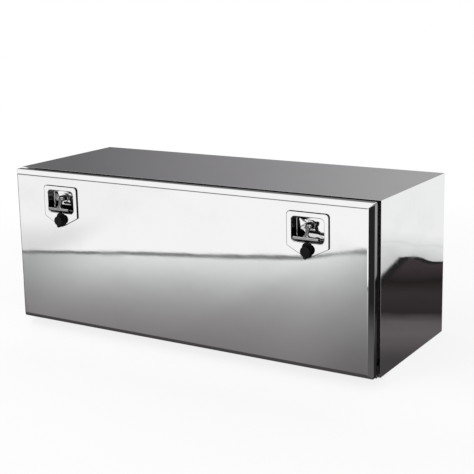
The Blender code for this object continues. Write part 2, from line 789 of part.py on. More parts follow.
def build_latch_dish(label, middle, steel):
    """The shield-shaped plate, its deep dish and four studs."""
    plate = prism(
        f"latch_dish_{label}", shield_outline(middle, 0.0), "Y", PLATE_FRONT, PLATE_BACK, steel
    )
    low, high = window_corners(middle, 0.0)
    radius = WINDOW_CORNER_RADIUS
    outer = [(-DISH_WALL, PLATE_FRONT + PLATE_THICKNESS / 2), *dish_profile(DISH_WALL)[1:]]
    lip = WINDOW_LIP_ROUND
    mouth = PLATE_FRONT - CUT_OVERRUN
    rounding = (-lip * (1.0 - math.sqrt(0.5)), PLATE_FRONT + lip * (1.0 - math.sqrt(0.5)))
    inner = [(-lip, mouth), (-lip, PLATE_FRONT), rounding, *dish_profile(0.0)]
    tub = rim_solid(f"dish_tub_{label}", low, high, outer, radius, False, steel)
    hollow = rim_solid(f"dish_hollow_{label}", low, high, inner, radius, False, steel)
    spindle = [(middle.x, SPINDLE_HEIGHT)]
    lock = [(middle.x, LOCK_HEIGHT)]
    studs = round_cutters(
        f"dish_studs_{label}",
        stud_places(middle),
        STUD_RADIUS,
        PLATE_BACK - PLATE_THICKNESS / 2,
        PLATE_BACK + STUD_LENGTH,
        SMALL_SIDES,
        steel,
    )
    fuse(plate, tub, studs)
    cut(
        plate,
        hollow,
        round_cutters(
            f"dish_bush_hole_{label}",
            spindle,
            BUSH_RADIUS + SEAT_GAP,
            DISH_FLOOR - CUT_OVERRUN,
            DISH_REAR + CUT_OVERRUN,
            ROUND_SIDES,
            steel,
        ),
        round_cutters(
            f"dish_lock_hole_{label}",
            lock,
            LOCK_THREAD_RADIUS + SEAT_GAP,
            PLATE_FRONT - CUT_OVERRUN,
            PLATE_BACK + CUT_OVERRUN,
            ROUND_SIDES,
            steel,
        ),
    )
    return plate


def build_gasket(label, middle, rubber):
    """The rubber sheet between the latch plate and the door."""
    outline = shield_outline(middle, GASKET_EDGE_INSET)
    gasket = prism(f"latch_gasket_{label}", outline, "Y", GASKET_FRONT, GASKET_BACK, rubber)
    start = GASKET_FRONT - CUT_OVERRUN
    end = GASKET_BACK + CUT_OVERRUN
    cut(gasket, outline_cutter(f"gasket_holes_{label}", latch_holes(middle), start, end, rubber))
    return gasket


def build_backing_plate(label, middle, steel):
    """The plate behind the door sheet, with a weld nut on each stud."""
    half = PLATE_WIDTH / 2 - BACKING_MARGIN
    bottom = LOCK_HEIGHT - LOCK_NUT_RADIUS - BACKING_MARGIN
    outline = rectangle(
        Vector((middle.x - half, bottom)), Vector((middle.x + half, PLATE_TOP - BACKING_MARGIN))
    )
    plate = prism(
        f"latch_backing_plate_{label}",
        filleted(outline, [PLATE_KNEE_RADIUS] * 4, FILLET_STEPS),
        "Y",
        BACKING_FRONT,
        BACKING_BACK,
        steel,
    )
    bm = bmesh.new()
    for x, z in stud_places(middle):
        outline = circle(Vector((x, z)), WELD_NUT_RADIUS, HEX_SIDES)
        prism_into(bm, outline, "Y", BACKING_BACK - BACKING_SHEET / 2, BACKING_BACK + WELD_NUT_HEIGHT)
    fuse(plate, object_of(f"weld_nuts_{label}", bm, steel))
    start = BACKING_FRONT - CUT_OVERRUN
    end = BACKING_BACK + WELD_NUT_HEIGHT + CUT_OVERRUN
    cut(plate, outline_cutter(f"backing_holes_{label}", latch_holes(middle), start, end, steel))
    return plate


def build_bush(label, middle, nylon):
    """The flanged bush that the spindle turns in."""
    bore = SHAFT_RADIUS + RUN_GAP
    flange = DISH_REAR + SEAT_GAP
    profile = [
        (bore, DISH_FLOOR - SEAT_GAP / 2),
        (BUSH_RADIUS, DISH_FLOOR - SEAT_GAP / 2),
        (BUSH_RADIUS, flange),
        (BUSH_FLANGE_RADIUS, flange),
        (BUSH_FLANGE_RADIUS, flange + BUSH_FLANGE_THICKNESS),
        (bore, flange + BUSH_FLANGE_THICKNESS),
    ]
    return turned(f"spindle_bush_{label}", profile, "Y", middle, ROUND_SIDES, nylon)


def build_spindle(label, middle, steel):
    """The shaft with its hub, the two ears of the handle's pivot and the pawl's collar."""
    collar = PAWL_FRONT - SEAT_GAP
    end = PAWL_BACK + SEAT_GAP + NUT_THICKNESS + SHAFT_TAIL
    profile = [
        (0.0, HUB_FRONT),
        (HUB_RADIUS, HUB_FRONT),
        (HUB_RADIUS, HUB_REAR),
        (SHAFT_RADIUS, HUB_REAR),
        (SHAFT_RADIUS, collar - COLLAR_LENGTH),
        (COLLAR_RADIUS, collar - COLLAR_LENGTH),
        (COLLAR_RADIUS, collar),
        (SHAFT_RADIUS, collar),
        (SHAFT_RADIUS, end),
        (0.0, end),
    ]
    spindle = turned(f"latch_spindle_{label}", profile, "Y", middle, ROUND_SIDES, steel)
    root = HUB_FRONT + HUB_THICKNESS / 2
    pivot = Vector((HANDLE_PIVOT_Y, SPINDLE_HEIGHT))
    foot = [
        Vector((root, SPINDLE_HEIGHT - EAR_RADIUS)),
        Vector((root, SPINDLE_HEIGHT + EAR_RADIUS)),
    ]
    ear = hull(circle(pivot, EAR_RADIUS, ROUND_SIDES) + foot)
    inner = HANDLE_STEM_WIDTH / 2 + SEAT_GAP
    bm = bmesh.new()
    for side in (-1, 1):
        low, high = spread(side, inner, inner + EAR_THICKNESS)
        prism_into(bm, ear, "X", middle.x + low, middle.x + high)
    fuse(spindle, object_of(f"spindle_ears_{label}", bm, steel))
    reach = inner + EAR_THICKNESS + CUT_OVERRUN
    place = Vector((middle.x, HANDLE_PIVOT_Y, SPINDLE_HEIGHT))
    bore = PIVOT_PIN_RADIUS + SEAT_GAP
    cut(spindle, rod(f"spindle_bore_{label}", "X", place, bore, -reach, reach, ROUND_SIDES, steel))
    return spindle


def build_pivot_pin(label, middle, steel):
    """The headed pin through the ears and the handle's stem."""
    reach = HANDLE_STEM_WIDTH / 2 + SEAT_GAP + EAR_THICKNESS + SEAT_GAP
    end = reach + PIVOT_PIN_HEAD_THICKNESS
    profile = [
        (0.0, -end),
        (PIVOT_PIN_HEAD_RADIUS, -end),
        (PIVOT_PIN_HEAD_RADIUS, -reach),
        (PIVOT_PIN_RADIUS, -reach),
        (PIVOT_PIN_RADIUS, reach),
        (PIVOT_PIN_HEAD_RADIUS, reach),
        (PIVOT_PIN_HEAD_RADIUS, end),
        (0.0, end),
    ]
    place = Vector((middle.x, HANDLE_PIVOT_Y, SPINDLE_HEIGHT))
    return turned(f"handle_pivot_pin_{label}", profile, "X", place, SMALL_SIDES, steel)


def build_handle(label, middle, steel):
    """The T-shaped handle: a round bar on a stem that swings on the pivot pin."""
    radius = HANDLE_BAR_RADIUS
    reach = HANDLE_BAR_LENGTH / 2
    quarter = [math.pi / 2 * step / FILLET_STEPS for step in range(FILLET_STEPS + 1)]
    rounded_end = [
        (radius * math.sin(angle), reach - radius * (1.0 - math.cos(angle))) for angle in quarter
    ]
    profile = [(r, -along) for r, along in rounded_end] + rounded_end[::-1]
    place = Vector((middle.x, HANDLE_BAR_Y, HANDLE_BAR_Z))
    bar = turned(f"t_handle_{label}", profile, "X", place, ROUND_SIDES, steel)
    pivot = Vector((HANDLE_PIVOT_Y, SPINDLE_HEIGHT))
    foot = Vector((HANDLE_BAR_Y, HANDLE_BAR_Z))
    section = hull(
        circle(pivot, HANDLE_KNUCKLE_RADIUS, ROUND_SIDES)
        + circle(foot, HANDLE_STEM_END_RADIUS, ROUND_SIDES)
    )
    half = HANDLE_STEM_WIDTH / 2
    stem = prism(f"handle_stem_{label}", section, "X", middle.x - half, middle.x + half, steel)
    fuse(bar, stem)
    bore = PIVOT_PIN_RADIUS + RUN_GAP
    reach = half + CUT_OVERRUN
    axle = Vector((middle.x, HANDLE_PIVOT_Y, SPINDLE_HEIGHT))
    cut(bar, rod(f"handle_bore_{label}", "X", axle, bore, -reach, reach, ROUND_SIDES, steel))
    return bar


def build_pawl(label, middle, steel):
    """The flat pawl behind the liner, pointing up while the latch is shut."""
    half = PAWL_WIDTH / 2 - PAWL_CORNER_RADIUS
    top = PAWL_TOP - PAWL_CORNER_RADIUS
    section = hull(
        circle(Vector((middle.x, SPINDLE_HEIGHT)), PAWL_BOSS_RADIUS, ROUND_SIDES)
        + circle(Vector((middle.x - half, top)), PAWL_CORNER_RADIUS, SMALL_SIDES)
        + circle(Vector((middle.x + half, top)), PAWL_CORNER_RADIUS, SMALL_SIDES)
    )
    pawl = prism(f"pawl_{label}", section, "Y", PAWL_FRONT, PAWL_BACK, steel)
    cut(
        pawl,
        round_cutters(
            f"pawl_bore_{label}",
            [(middle.x, SPINDLE_HEIGHT)],
            SHAFT_RADIUS + SEAT_GAP,
            PAWL_FRONT - CUT_OVERRUN,
            PAWL_BACK + CUT_OVERRUN,
            ROUND_SIDES,
            steel,
        ),
    )
    return pawl


def build_nut(name, place, radius, bore, start, thickness, steel):
    """A hexagon nut on a round shaft or thread along Y."""
    nut = prism(name, circle(place, radius, HEX_SIDES), "Y", start, start + thickness, steel)
    cut(
        nut,
        round_cutters(
            f"{name}_bore",
            [place],
            bore,
            start - CUT_OVERRUN,
            start + thickness + CUT_OVERRUN,
            ROUND_SIDES,
            steel,
        ),
    )
    return nut


def teardrop(middle_x, top, top_radius, low, low_radius):
    """Gives the outline round a large circle and a small one under it."""
    return hull(
        circle(Vector((middle_x, top)), top_radius, ROUND_SIDES)
        + circle(Vector((middle_x, low)), low_radius, SMALL_SIDES)
    )


def build_lock_housing(label, middle, plastic):
    """The lock's flange, barrel and threaded shank, bored for the plug."""
    x = middle.x
    ear = COVER_EAR_RADIUS
    flange_top = LOCK_HEIGHT + LOCK_FLANGE_RISE
    housing = prism(
        f"lock_housing_{label}",
        teardrop(x, flange_top, LOCK_FLANGE_RADIUS, COVER_AXIS_HEIGHT, ear + SEAT_GAP),
        "Y",
        LOCK_FLANGE_FRONT,
        LOCK_FLANGE_BACK,
        plastic,
    )
    inside = LOCK_FLANGE_BACK - LOCK_FLANGE_THICKNESS / 2
    barrel = prism(
        f"lock_barrel_{label}",
        teardrop(x, LOCK_HEIGHT, LOCK_BARREL_RADIUS, COVER_AXIS_HEIGHT, ear - SEAT_GAP),
        "Y",
        LOCK_FACE,
        inside,
        plastic,
    )
    centre = Vector((x, LOCK_HEIGHT))
    shank_outline = circle(centre, LOCK_THREAD_RADIUS, ROUND_SIDES)
    shank = prism(f"lock_shank_{label}", shank_outline, "Y", inside, LOCK_THREAD_END, plastic)
    fuse(housing, barrel, shank)
    rivet_end = COVER_BACK + COVER_RIVET_BITE + SEAT_GAP
    cut(
        housing,
        round_cutters(
            f"lock_bore_{label}",
            [centre],
            PLUG_RADIUS + RUN_GAP,
            LOCK_FACE - CUT_OVERRUN,
            LOCK_THREAD_END + CUT_OVERRUN,
            ROUND_SIDES,
            plastic,
        ),
        round_cutters(
            f"cover_rivet_hole_{label}",
            [(x, COVER_AXIS_HEIGHT)],
            COVER_RIVET_RADIUS + SEAT_GAP,
            LOCK_FACE - CUT_OVERRUN,
            rivet_end,
            SMALL_SIDES,
            plastic,
        ),
    )
    return housing


def build_lock_plug(label, middle, brass):
    """The turning plug with its keyway and the tail that carries the cam."""
    start = LOCK_FACE + SEAT_GAP
    shoulder = LOCK_THREAD_END
    profile = [
        (0.0, start),
        (PLUG_RADIUS, start),
        (PLUG_RADIUS, shoulder),
        (PLUG_TAIL_RADIUS, shoulder),
        (PLUG_TAIL_RADIUS, shoulder + PLUG_TAIL_LENGTH),
        (0.0, shoulder + PLUG_TAIL_LENGTH),
    ]
    place = Vector((middle.x, 0.0, LOCK_HEIGHT))
    plug = turned(f"lock_plug_{label}", profile, "Y", place, ROUND_SIDES, brass)
    half = Vector((KEYWAY_WIDTH / 2, KEYWAY_HEIGHT / 2))
    centre = Vector((middle.x, LOCK_HEIGHT))
    outline = rectangle(centre - half, centre + half)
    keyway = prism(
        f"keyway_{label}", outline, "Y", start - CUT_OVERRUN, start + KEYWAY_DEPTH, brass
    )
    cut(plug, keyway)
    return plug


def build_lock_cam(label, middle, steel):
    """The small cam on the plug's tail."""
    start = LOCK_THREAD_END + SEAT_GAP
    section = teardrop(
        middle.x, LOCK_HEIGHT + CAM_REACH, CAM_TIP_RADIUS, LOCK_HEIGHT, CAM_BOSS_RADIUS
    )
    cam = prism(f"lock_cam_{label}", section, "Y", start, start + CAM_THICKNESS, steel)
    cut(
        cam,
        round_cutters(
            f"cam_bore_{label}",
            [(middle.x, LOCK_HEIGHT)],
            PLUG_TAIL_RADIUS + SEAT_GAP,
            start - CUT_OVERRUN,
            start + CAM_THICKNESS + CUT_OVERRUN,
            SMALL_SIDES,
            steel,
        ),
    )
    return cam


def build_lock_cover(label, middle, plastic):
    """The cap over the keyway, which swings aside on its rivet."""
    layers = (
        (COVER_BACK, 0.0),
        (COVER_FRONT + COVER_EDGE_ROUND, 0.0),
        (COVER_FRONT, COVER_EDGE_ROUND),
    )
    loops = []
    for y, inset in layers:
        outline = teardrop(
            middle.x, LOCK_HEIGHT, COVER_RADIUS - inset, COVER_AXIS_HEIGHT, COVER_EAR_RADIUS - inset
        )
        loops.append([at("Y", point.x, point.y, y) for point in outline])
    cover = looped(f"lock_cover_{label}", loops, False, plastic)
    cut(
        cover,
        round_cutters(
            f"cover_bore_{label}",
            [(middle.x, COVER_AXIS_HEIGHT)],
            COVER_RIVET_RADIUS + RUN_GAP,
            COVER_FRONT - CUT_OVERRUN,
            COVER_BACK + CUT_OVERRUN,
            SMALL_SIDES,
            plastic,
        ),
    )
    return cover


def build_cover_rivet(label, middle, steel):
    """The rivet that the cover swings on."""
    head = COVER_FRONT - SEAT_GAP
    end = COVER_BACK + COVER_RIVET_BITE
    profile = [
        (0.0, head - COVER_RIVET_HEAD_THICKNESS),
        (COVER_RIVET_HEAD_RADIUS, head - COVER_RIVET_HEAD_THICKNESS),
        (COVER_RIVET_HEAD_RADIUS, head),
        (COVER_RIVET_RADIUS, head),
        (COVER_RIVET_RADIUS, end),
        (0.0, end),
    ]
    place = Vector((middle.x, 0.0, COVER_AXIS_HEIGHT))
    return turned(f"cover_rivet_{label}", profile, "Y", place, SMALL_SIDES, steel)


def build_latch(label, side, finishes, door_axis):
    """One whole latch, with its moving pieces hung on their axes."""
    middle = latch_place(side)
    steel = finishes["polished_stainless"]
    plated = finishes["plated_steel"]
    plastic = finishes["black_plastic"]
    fixed = [
        build_latch_dish(label, middle, steel),
        build_gasket(label, middle, finishes["black_rubber"]),
        build_backing_plate(label, middle, plated),
        build_bush(label, middle, finishes["nylon"]),
        build_lock_housing(label, middle, plastic),
        build_nut(
            f"lock_nut_{label}",
            Vector((middle.x, LOCK_HEIGHT)),
            LOCK_NUT_RADIUS,
            LOCK_THREAD_RADIUS + SEAT_GAP,
            BACKING_BACK + SEAT_GAP,
            LOCK_NUT_THICKNESS,
            plated,
        ),
        build_cover_rivet(label, middle, steel),
    ]
    hang(fixed, door_axis)
    spindle_axis = axis_marker(f"spindle_axis_{label}", middle, door_axis)
    turning = [
        build_spindle(label, middle, steel),
        build_pivot_pin(label, middle, plated),
        build_pawl(label, middle, plated),
        build_nut(
            f"pawl_nut_{label}",
            Vector((middle.x, SPINDLE_HEIGHT)),
            NUT_RADIUS,
            SHAFT_RADIUS + SEAT_GAP,
            PAWL_BACK + SEAT_GAP,
            NUT_THICKNESS,
            plated,
        ),
    ]
    hang(turning, spindle_axis)
    pivot = Vector((middle.x, HANDLE_PIVOT_Y, SPINDLE_HEIGHT))
    hang([build_handle(label, middle, steel)], axis_marker(f"handle_axis_{label}", pivot, spindle_axis))
    key = Vector((middle.x, LOCK_FACE, LOCK_HEIGHT))
    lock = [build_lock_plug(label, middle, finishes["brass"]), build_lock_cam(label, middle, plated)]
    hang(lock, axis_marker(f"key_axis_{label}", key, door_axis))
    swing = Vector((middle.x, COVER_BACK, COVER_AXIS_HEIGHT))
    hang([build_lock_cover(label, middle, plastic)], axis_marker(f"cover_axis_{label}", swing, door_axis))


def stay_geometry():
    """Gives the stud's place, the arm's slant and the two distances that the stud runs between."""
    arm = STAY_PIVOT - HINGE_AXIS
    radius = arm.length
    pivot_angle = math.atan2(arm.z, arm.y)
    lag = math.radians(STAY_STUD_ANGLE)
    stud_angle = pivot_angle - lag
    stud = HINGE_AXIS + radius * Vector((0.0, math.cos(stud_angle), math.sin(stud_angle)))
    slant = pivot_angle - lag / 2 - math.pi / 2
    near = 2 * radius * math.sin(lag / 2)
    far = 2 * radius * math.sin((lag + math.radians(DOOR_OPEN_ANGLE)) / 2)
    return stud, slant, near, far


def build_stay_arm(label, side, steel):
    """The slotted arm between the door's bracket and the stud on the end panel."""
    _, slant, near, far = stay_geometry()
    along = Vector((math.cos(slant), math.sin(slant)))
    pivot = Vector((STAY_PIVOT.y, STAY_PIVOT.z))
    slot = STAY_STUD_RADIUS + RUN_GAP
    slot_start = pivot + along * (near - STAY_SLOT_MARGIN)
    slot_end = pivot + along * (far + STAY_SLOT_MARGIN)
    tip = slot_end + along * (slot + STAY_END_WALL - STAY_WIDTH / 2)
    low, high = spread(side, STAY_PLANE - STAY_THICKNESS / 2, STAY_PLANE + STAY_THICKNESS / 2)
    round_end = STAY_WIDTH / 2
    outline = hull(circle(pivot, round_end, ROUND_SIDES) + circle(tip, round_end, ROUND_SIDES))
    arm = prism(f"stay_arm_{label}", outline, "X", low, high, steel)
    bm = bmesh.new()
    slot_outline = hull(circle(slot_start, slot, ROUND_SIDES) + circle(slot_end, slot, ROUND_SIDES))
    bore = circle(pivot, STAY_PIN_RADIUS + RUN_GAP, ROUND_SIDES)
    for shape in (slot_outline, bore):
        prism_into(bm, shape, "X", low - CUT_OVERRUN, high + CUT_OVERRUN)
    cut(arm, object_of(f"stay_slot_{label}", bm, steel))
    return arm


def build_stay_stud(label, side, steel):
    """The shouldered stud on the end panel that the arm's slot runs on."""
    stud, _, _, _ = stay_geometry()
    outer = STAY_PLANE + STAY_THICKNESS / 2 + SEAT_GAP
    inner = STAY_PLANE - STAY_THICKNESS / 2 - SEAT_GAP
    wall = SIDE - SHEET - SEAT_GAP
    profile = [
        (0.0, inner - STAY_HEAD_THICKNESS),
        (STAY_COLLAR_RADIUS, inner - STAY_HEAD_THICKNESS),
        (STAY_COLLAR_RADIUS, inner),
        (STAY_STUD_RADIUS, inner),
        (STAY_STUD_RADIUS, outer),
        (STAY_COLLAR_RADIUS, outer),
        (STAY_COLLAR_RADIUS, wall),
        (0.0, wall),
    ]
    mirrored = [(radius, side * along) for radius, along in profile]
    return turned(f"stay_stud_{label}", mirrored, "X", stud, ROUND_SIDES, steel)


def build_stay_bracket(label, side, steel):
    """The angle bracket on the liner, whose ear holds the arm's pin."""
    outer = STAY_PLANE - STAY_THICKNESS / 2 - SEAT_GAP
    inner = outer - BRACKET_SHEET
    seat = LINER_FIELD_BACK + SEAT_GAP
    half = BRACKET_BASE_HEIGHT / 2
    low, high = spread(side, outer - BRACKET_BASE_WIDTH, outer)
    base = box(
        f"stay_bracket_{label}",
        (low, seat, STAY_PIVOT.z - half),
        (high, seat + BRACKET_SHEET, STAY_PIVOT.z + half),
        steel,
    )
    pivot = Vector((STAY_PIVOT.y, STAY_PIVOT.z))
    foot = [
        Vector((seat + BRACKET_SHEET / 2, STAY_PIVOT.z - half + BRACKET_SHEET)),
        Vector((seat + BRACKET_SHEET / 2, STAY_PIVOT.z + half - BRACKET_SHEET)),
    ]
    section = hull(circle(pivot, BRACKET_EAR_RADIUS, ROUND_SIDES) + foot)
    ear_low, ear_high = spread(side, inner, outer)
    ear = prism(f"bracket_ear_{label}", section, "X", ear_low, ear_high, steel)
    fuse(base, ear)
    place = Vector((0.0, STAY_PIVOT.y, STAY_PIVOT.z))
    bore = rod(
        f"bracket_bore_{label}",
        "X",
        place,
        STAY_PIN_RADIUS + SEAT_GAP,
        ear_low - CUT_OVERRUN,
        ear_high + CUT_OVERRUN,
        ROUND_SIDES,
        steel,
    )
    cut(base, bore)
    return base


def build_stay_pin(label, side, steel):
    """The headed pin through the bracket's ear and the arm."""
    arm_outer = STAY_PLANE + STAY_THICKNESS / 2 + SEAT_GAP
    ear_inner = STAY_PLANE - STAY_THICKNESS / 2 - SEAT_GAP - BRACKET_SHEET - SEAT_GAP
    profile = [
        (0.0, ear_inner - STAY_PIN_HEAD_THICKNESS),
        (STAY_PIN_HEAD_RADIUS, ear_inner - STAY_PIN_HEAD_THICKNESS),
        (STAY_PIN_HEAD_RADIUS, ear_inner),
        (STAY_PIN_RADIUS, ear_inner),
        (STAY_PIN_RADIUS, arm_outer),
        (STAY_PIN_HEAD_RADIUS, arm_outer),
        (STAY_PIN_HEAD_RADIUS, arm_outer + STAY_PIN_HEAD_THICKNESS),
        (0.0, arm_outer + STAY_PIN_HEAD_THICKNESS),
    ]
    mirrored = [(radius, side * along) for radius, along in profile]
    return turned(f"stay_pin_{label}", mirrored, "X", STAY_PIVOT, SMALL_SIDES, steel)


def main():
    """Builds the whole box."""
    clear_scene()
    finishes = make_materials()
    steel = finishes["polished_stainless"]
    brushed = finishes["brushed_stainless"]
    plated = finishes["plated_steel"]
    door_axis = axis_marker("door_axis", HINGE_AXIS)
    build_body_shell(steel)
    build_seal(finishes["black_rubber"])
    door_leaf = build_hinge(brushed, plated)
    hang([build_door_skin(steel), build_door_liner(brushed), door_leaf], door_axis)
    for label, side in SIDES:
        build_end_panel(label, side, steel)
        build_roof_channel(label, side, brushed)
        build_keeper_plate(label, side, plated)
        build_stay_stud(label, side, plated)
        on_door = [build_stay_bracket(label, side, brushed), build_stay_pin(label, side, plated)]
        hang(on_door, door_axis)
        stay_place = Vector((side * STAY_PLANE, STAY_PIVOT.y, STAY_PIVOT.z))
        stay_axis = axis_marker(f"stay_axis_{label}", stay_place, door_axis)
        hang([build_stay_arm(label, side, brushed)], stay_axis)
        build_latch(label, side, finishes, door_axis)


main()
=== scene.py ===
"""Dressed scene of a stainless steel tool box with a drop-down door.

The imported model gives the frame: metres, +Z up, the origin in the middle of the underside, +X to
the right seen from the front, and the door facing -Y. Every class below builds one sub-assembly of
the box as fine meshes in that frame, dresses it in its finishes and hangs it on the body that
carries it. The studio class adds the floor, the light and the camera.
"""

import logging
import math
from dataclasses import dataclass
from enum import Enum
from typing import Any, Iterable, Optional, Sequence, Union

import bmesh
import bpy
from mathutils import Matrix, Vector


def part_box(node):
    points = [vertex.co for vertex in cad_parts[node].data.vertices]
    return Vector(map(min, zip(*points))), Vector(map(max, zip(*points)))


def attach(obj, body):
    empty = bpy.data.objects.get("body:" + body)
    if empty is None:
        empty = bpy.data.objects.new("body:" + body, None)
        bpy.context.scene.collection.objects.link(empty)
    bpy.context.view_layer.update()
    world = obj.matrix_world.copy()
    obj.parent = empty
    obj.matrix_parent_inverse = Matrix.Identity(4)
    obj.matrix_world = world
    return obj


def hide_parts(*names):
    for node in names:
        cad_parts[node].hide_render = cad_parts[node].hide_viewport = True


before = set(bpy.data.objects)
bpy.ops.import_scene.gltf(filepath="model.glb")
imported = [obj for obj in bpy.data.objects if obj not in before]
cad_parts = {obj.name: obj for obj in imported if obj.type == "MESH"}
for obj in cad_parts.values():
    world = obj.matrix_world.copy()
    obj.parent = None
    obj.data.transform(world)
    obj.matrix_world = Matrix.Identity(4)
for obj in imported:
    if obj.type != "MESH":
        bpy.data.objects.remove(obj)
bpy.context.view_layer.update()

LOG = logging.getLogger("tool_box")

Pair = tuple[float, float]
Colour = tuple[float, float, float]
Stops = tuple[tuple[float, Colour], ...]

WHITE: Colour = (1.0, 1.0, 1.0)
BLACK: Colour = (0.0, 0.0, 0.0)

FINE_EDGE = 0.0003
SHEET_EDGE = 0.0004
SHARP = 60.0
TOUCH = 0.0001
OVERLAP = 0.001
OVERRUN = 0.002
HALF_BEVEL = 22.5


class End(Enum):
    """The two ends of the box, with the sign of X on that side."""

    LEFT = -1
    RIGHT = 1

    @property
    def label(self) -> str:
        """Gives the word that the end's nodes are named with."""
        return self.name.lower()

    def span(self, near: float, far: float) -> Pair:
        """Gives a span of X on this side of the middle, low end first."""
        return (near, far) if self is End.RIGHT else (-far, -near)


class Slot(Enum):
    """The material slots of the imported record."""

    POLISHED = "polished_stainless"
    BRUSHED = "brushed_stainless"
    PLATED = "plated_steel"
    PLASTIC = "black_plastic"
    RUBBER = "black_rubber"
    NYLON = "nylon"
    BRASS = "brass"


class Axis(Enum):
    """An axis that a shape is turned round or extruded along."""

    X = 0
    Y = 1

    @property
    def direction(self) -> Vector:
        """Gives the axis as a unit vector."""
        return Vector((1.0, 0.0, 0.0)) if self is Axis.X else Vector((0.0, 1.0, 0.0))

    def point(self, u: float, v: float, along: float) -> Vector:
        """Puts a point of a section into the frame.

        Args:
            u: Place across the section: Y for an X axis, X for a Y axis.
            v: Height.
            along: Place along the axis.

        Returns:
            The point in the frame.
        """
        return Vector((along, u, v)) if self is Axis.X else Vector((u, along, v))

    def disc_matrix(self, u: float, v: float, along: float) -> Matrix:
        """Gives the transform that lays a flat circle square to the axis at a point."""
        turn = Matrix.Rotation(math.pi / 2, 4, "Y" if self is Axis.X else "X")
        return Matrix.Translation(self.point(u, v, along)) @ turn


# ---------------------------------------------------------------------------------------------
# Shader maths


class NodeGraph:
    """Adds nodes to one node tree, each through the same method."""

    def __init__(self, tree: bpy.types.NodeTree) -> None:
        """Takes the tree and empties it."""
        self.tree = tree
        tree.nodes.clear()

    def add(
        self,
        kind: str,
        settings: Optional[dict[str, Any]] = None,
        sockets: Optional[dict[Union[int, str], Any]] = None,
    ) -> bpy.types.Node:
        """Adds a node, with its settings first and then its sockets.

        Args:
            kind: The node's type.
            settings: Properties of the node; "stops" holds a ramp's (place, colour) pairs.
            sockets: Values or links of its input sockets, by name or number.

        Returns:
            The new node.
        """
        node = self.tree.nodes.new(kind)
        for name, value in (settings or {}).items():
            if name == "stops":
                self._set_stops(node.color_ramp, value)
            else:
                setattr(node, name, value)
        for name, value in (sockets or {}).items():
            self.feed(node.inputs[name], value)
        return node

    def feed(self, socket: bpy.types.NodeSocket, value: Any) -> None:
        """Links a socket to a value's source, or sets its own value.

        Args:
            socket: The socket that is fed.
            value: A shader value, a socket, a colour or a plain value.
        """
        if isinstance(value, ShaderValue):
            self.tree.links.new(value.socket, socket)
        elif isinstance(value, bpy.types.NodeSocket):
            self.tree.links.new(value, socket)
        elif isinstance(value, tuple) and len(value) == 3 and socket.type == "RGBA":
            socket.default_value = (*value, 1.0)
        else:
            socket.default_value = value

    @staticmethod
    def _set_stops(ramp: bpy.types.ColorRamp, stops: Sequence[tuple[float, Colour]]) -> None:
        """Sets the stops of a colour ramp.

        Args:
            ramp: The ramp.
            stops: Each stop's place and colour, in order.
        """
        while len(ramp.elements) < len(stops):
            ramp.elements.new(1.0)
        for element, (place, colour) in zip(ramp.elements, stops):
            element.position = place
            element.color = (*colour, 1.0)

    def value(self, socket: bpy.types.NodeSocket) -> "ShaderValue":
        """Wraps a socket so that maths can be written on it."""
        return ShaderValue(self, socket)

    def place(self) -> "tuple[ShaderValue, ShaderValue, ShaderValue]":
        """Gives the three object coordinates of the shaded point, in metres.

        Returns:
            The three values, x first.
        """
        split = self.add("ShaderNodeSeparateXYZ", None, {0: self.object_point()})
        x, y, z = (self.value(socket) for socket in split.outputs)
        return x, y, z

    def object_point(self) -> bpy.types.NodeSocket:
        """Gives the object coordinates as one vector socket."""
        return self.add("ShaderNodeTexCoord").outputs["Object"]

    def noise(self, scale: float, stretch: Colour, detail: float, shift: Colour) -> "ShaderValue":
        """Makes a noise pattern on object coordinates.

        Args:
            scale: Cycles per metre before the stretch.
            stretch: Factors on the three coordinates.
            detail: Octaves of the noise.
            shift: Where the pattern starts, so that two finishes don't share it.

        Returns:
            The noise, from 0 to 1.
        """
        mapping = self.add(
            "ShaderNodeMapping",
            {"vector_type": "POINT"},
            {"Vector": self.object_point(), "Location": shift, "Scale": stretch},
        )
        noise = self.add(
            "ShaderNodeTexNoise",
            {"noise_dimensions": "3D"},
            {"Vector": mapping.outputs[0], "Scale": scale, "Detail": detail},
        )
        return self.value(noise.outputs[0])

    def blend(self, share: Any, first: Any, second: Any) -> bpy.types.NodeSocket:
        """Mixes two colours by a share of the second.

        Args:
            share: How much of the second colour shows, from 0 to 1.
            first: A colour or a colour's socket.
            second: A colour or a colour's socket.

        Returns:
            The mixed colour's socket.
        """
        node = self.add("ShaderNodeMix", {"data_type": "RGBA", "blend_type": "MIX"})
        self.feed(node.inputs[0], share)
        self.feed(node.inputs[6], first)
        self.feed(node.inputs[7], second)
        return node.outputs[2]

    def bump(self, height: "ShaderValue", metres: float, under: Any = None) -> bpy.types.NodeSocket:
        """Gives a normal from a height pattern.

        Args:
            height: The pattern, from 0 to 1.
            metres: How far 1 stands out.
            under: Another normal that this one adds to.

        Returns:
            The normal's socket.
        """
        sockets = {"Height": height, "Distance": metres, "Strength": 1.0}
        if under is not None:
            sockets["Normal"] = under
        return self.add("ShaderNodeBump", None, sockets).outputs[0]


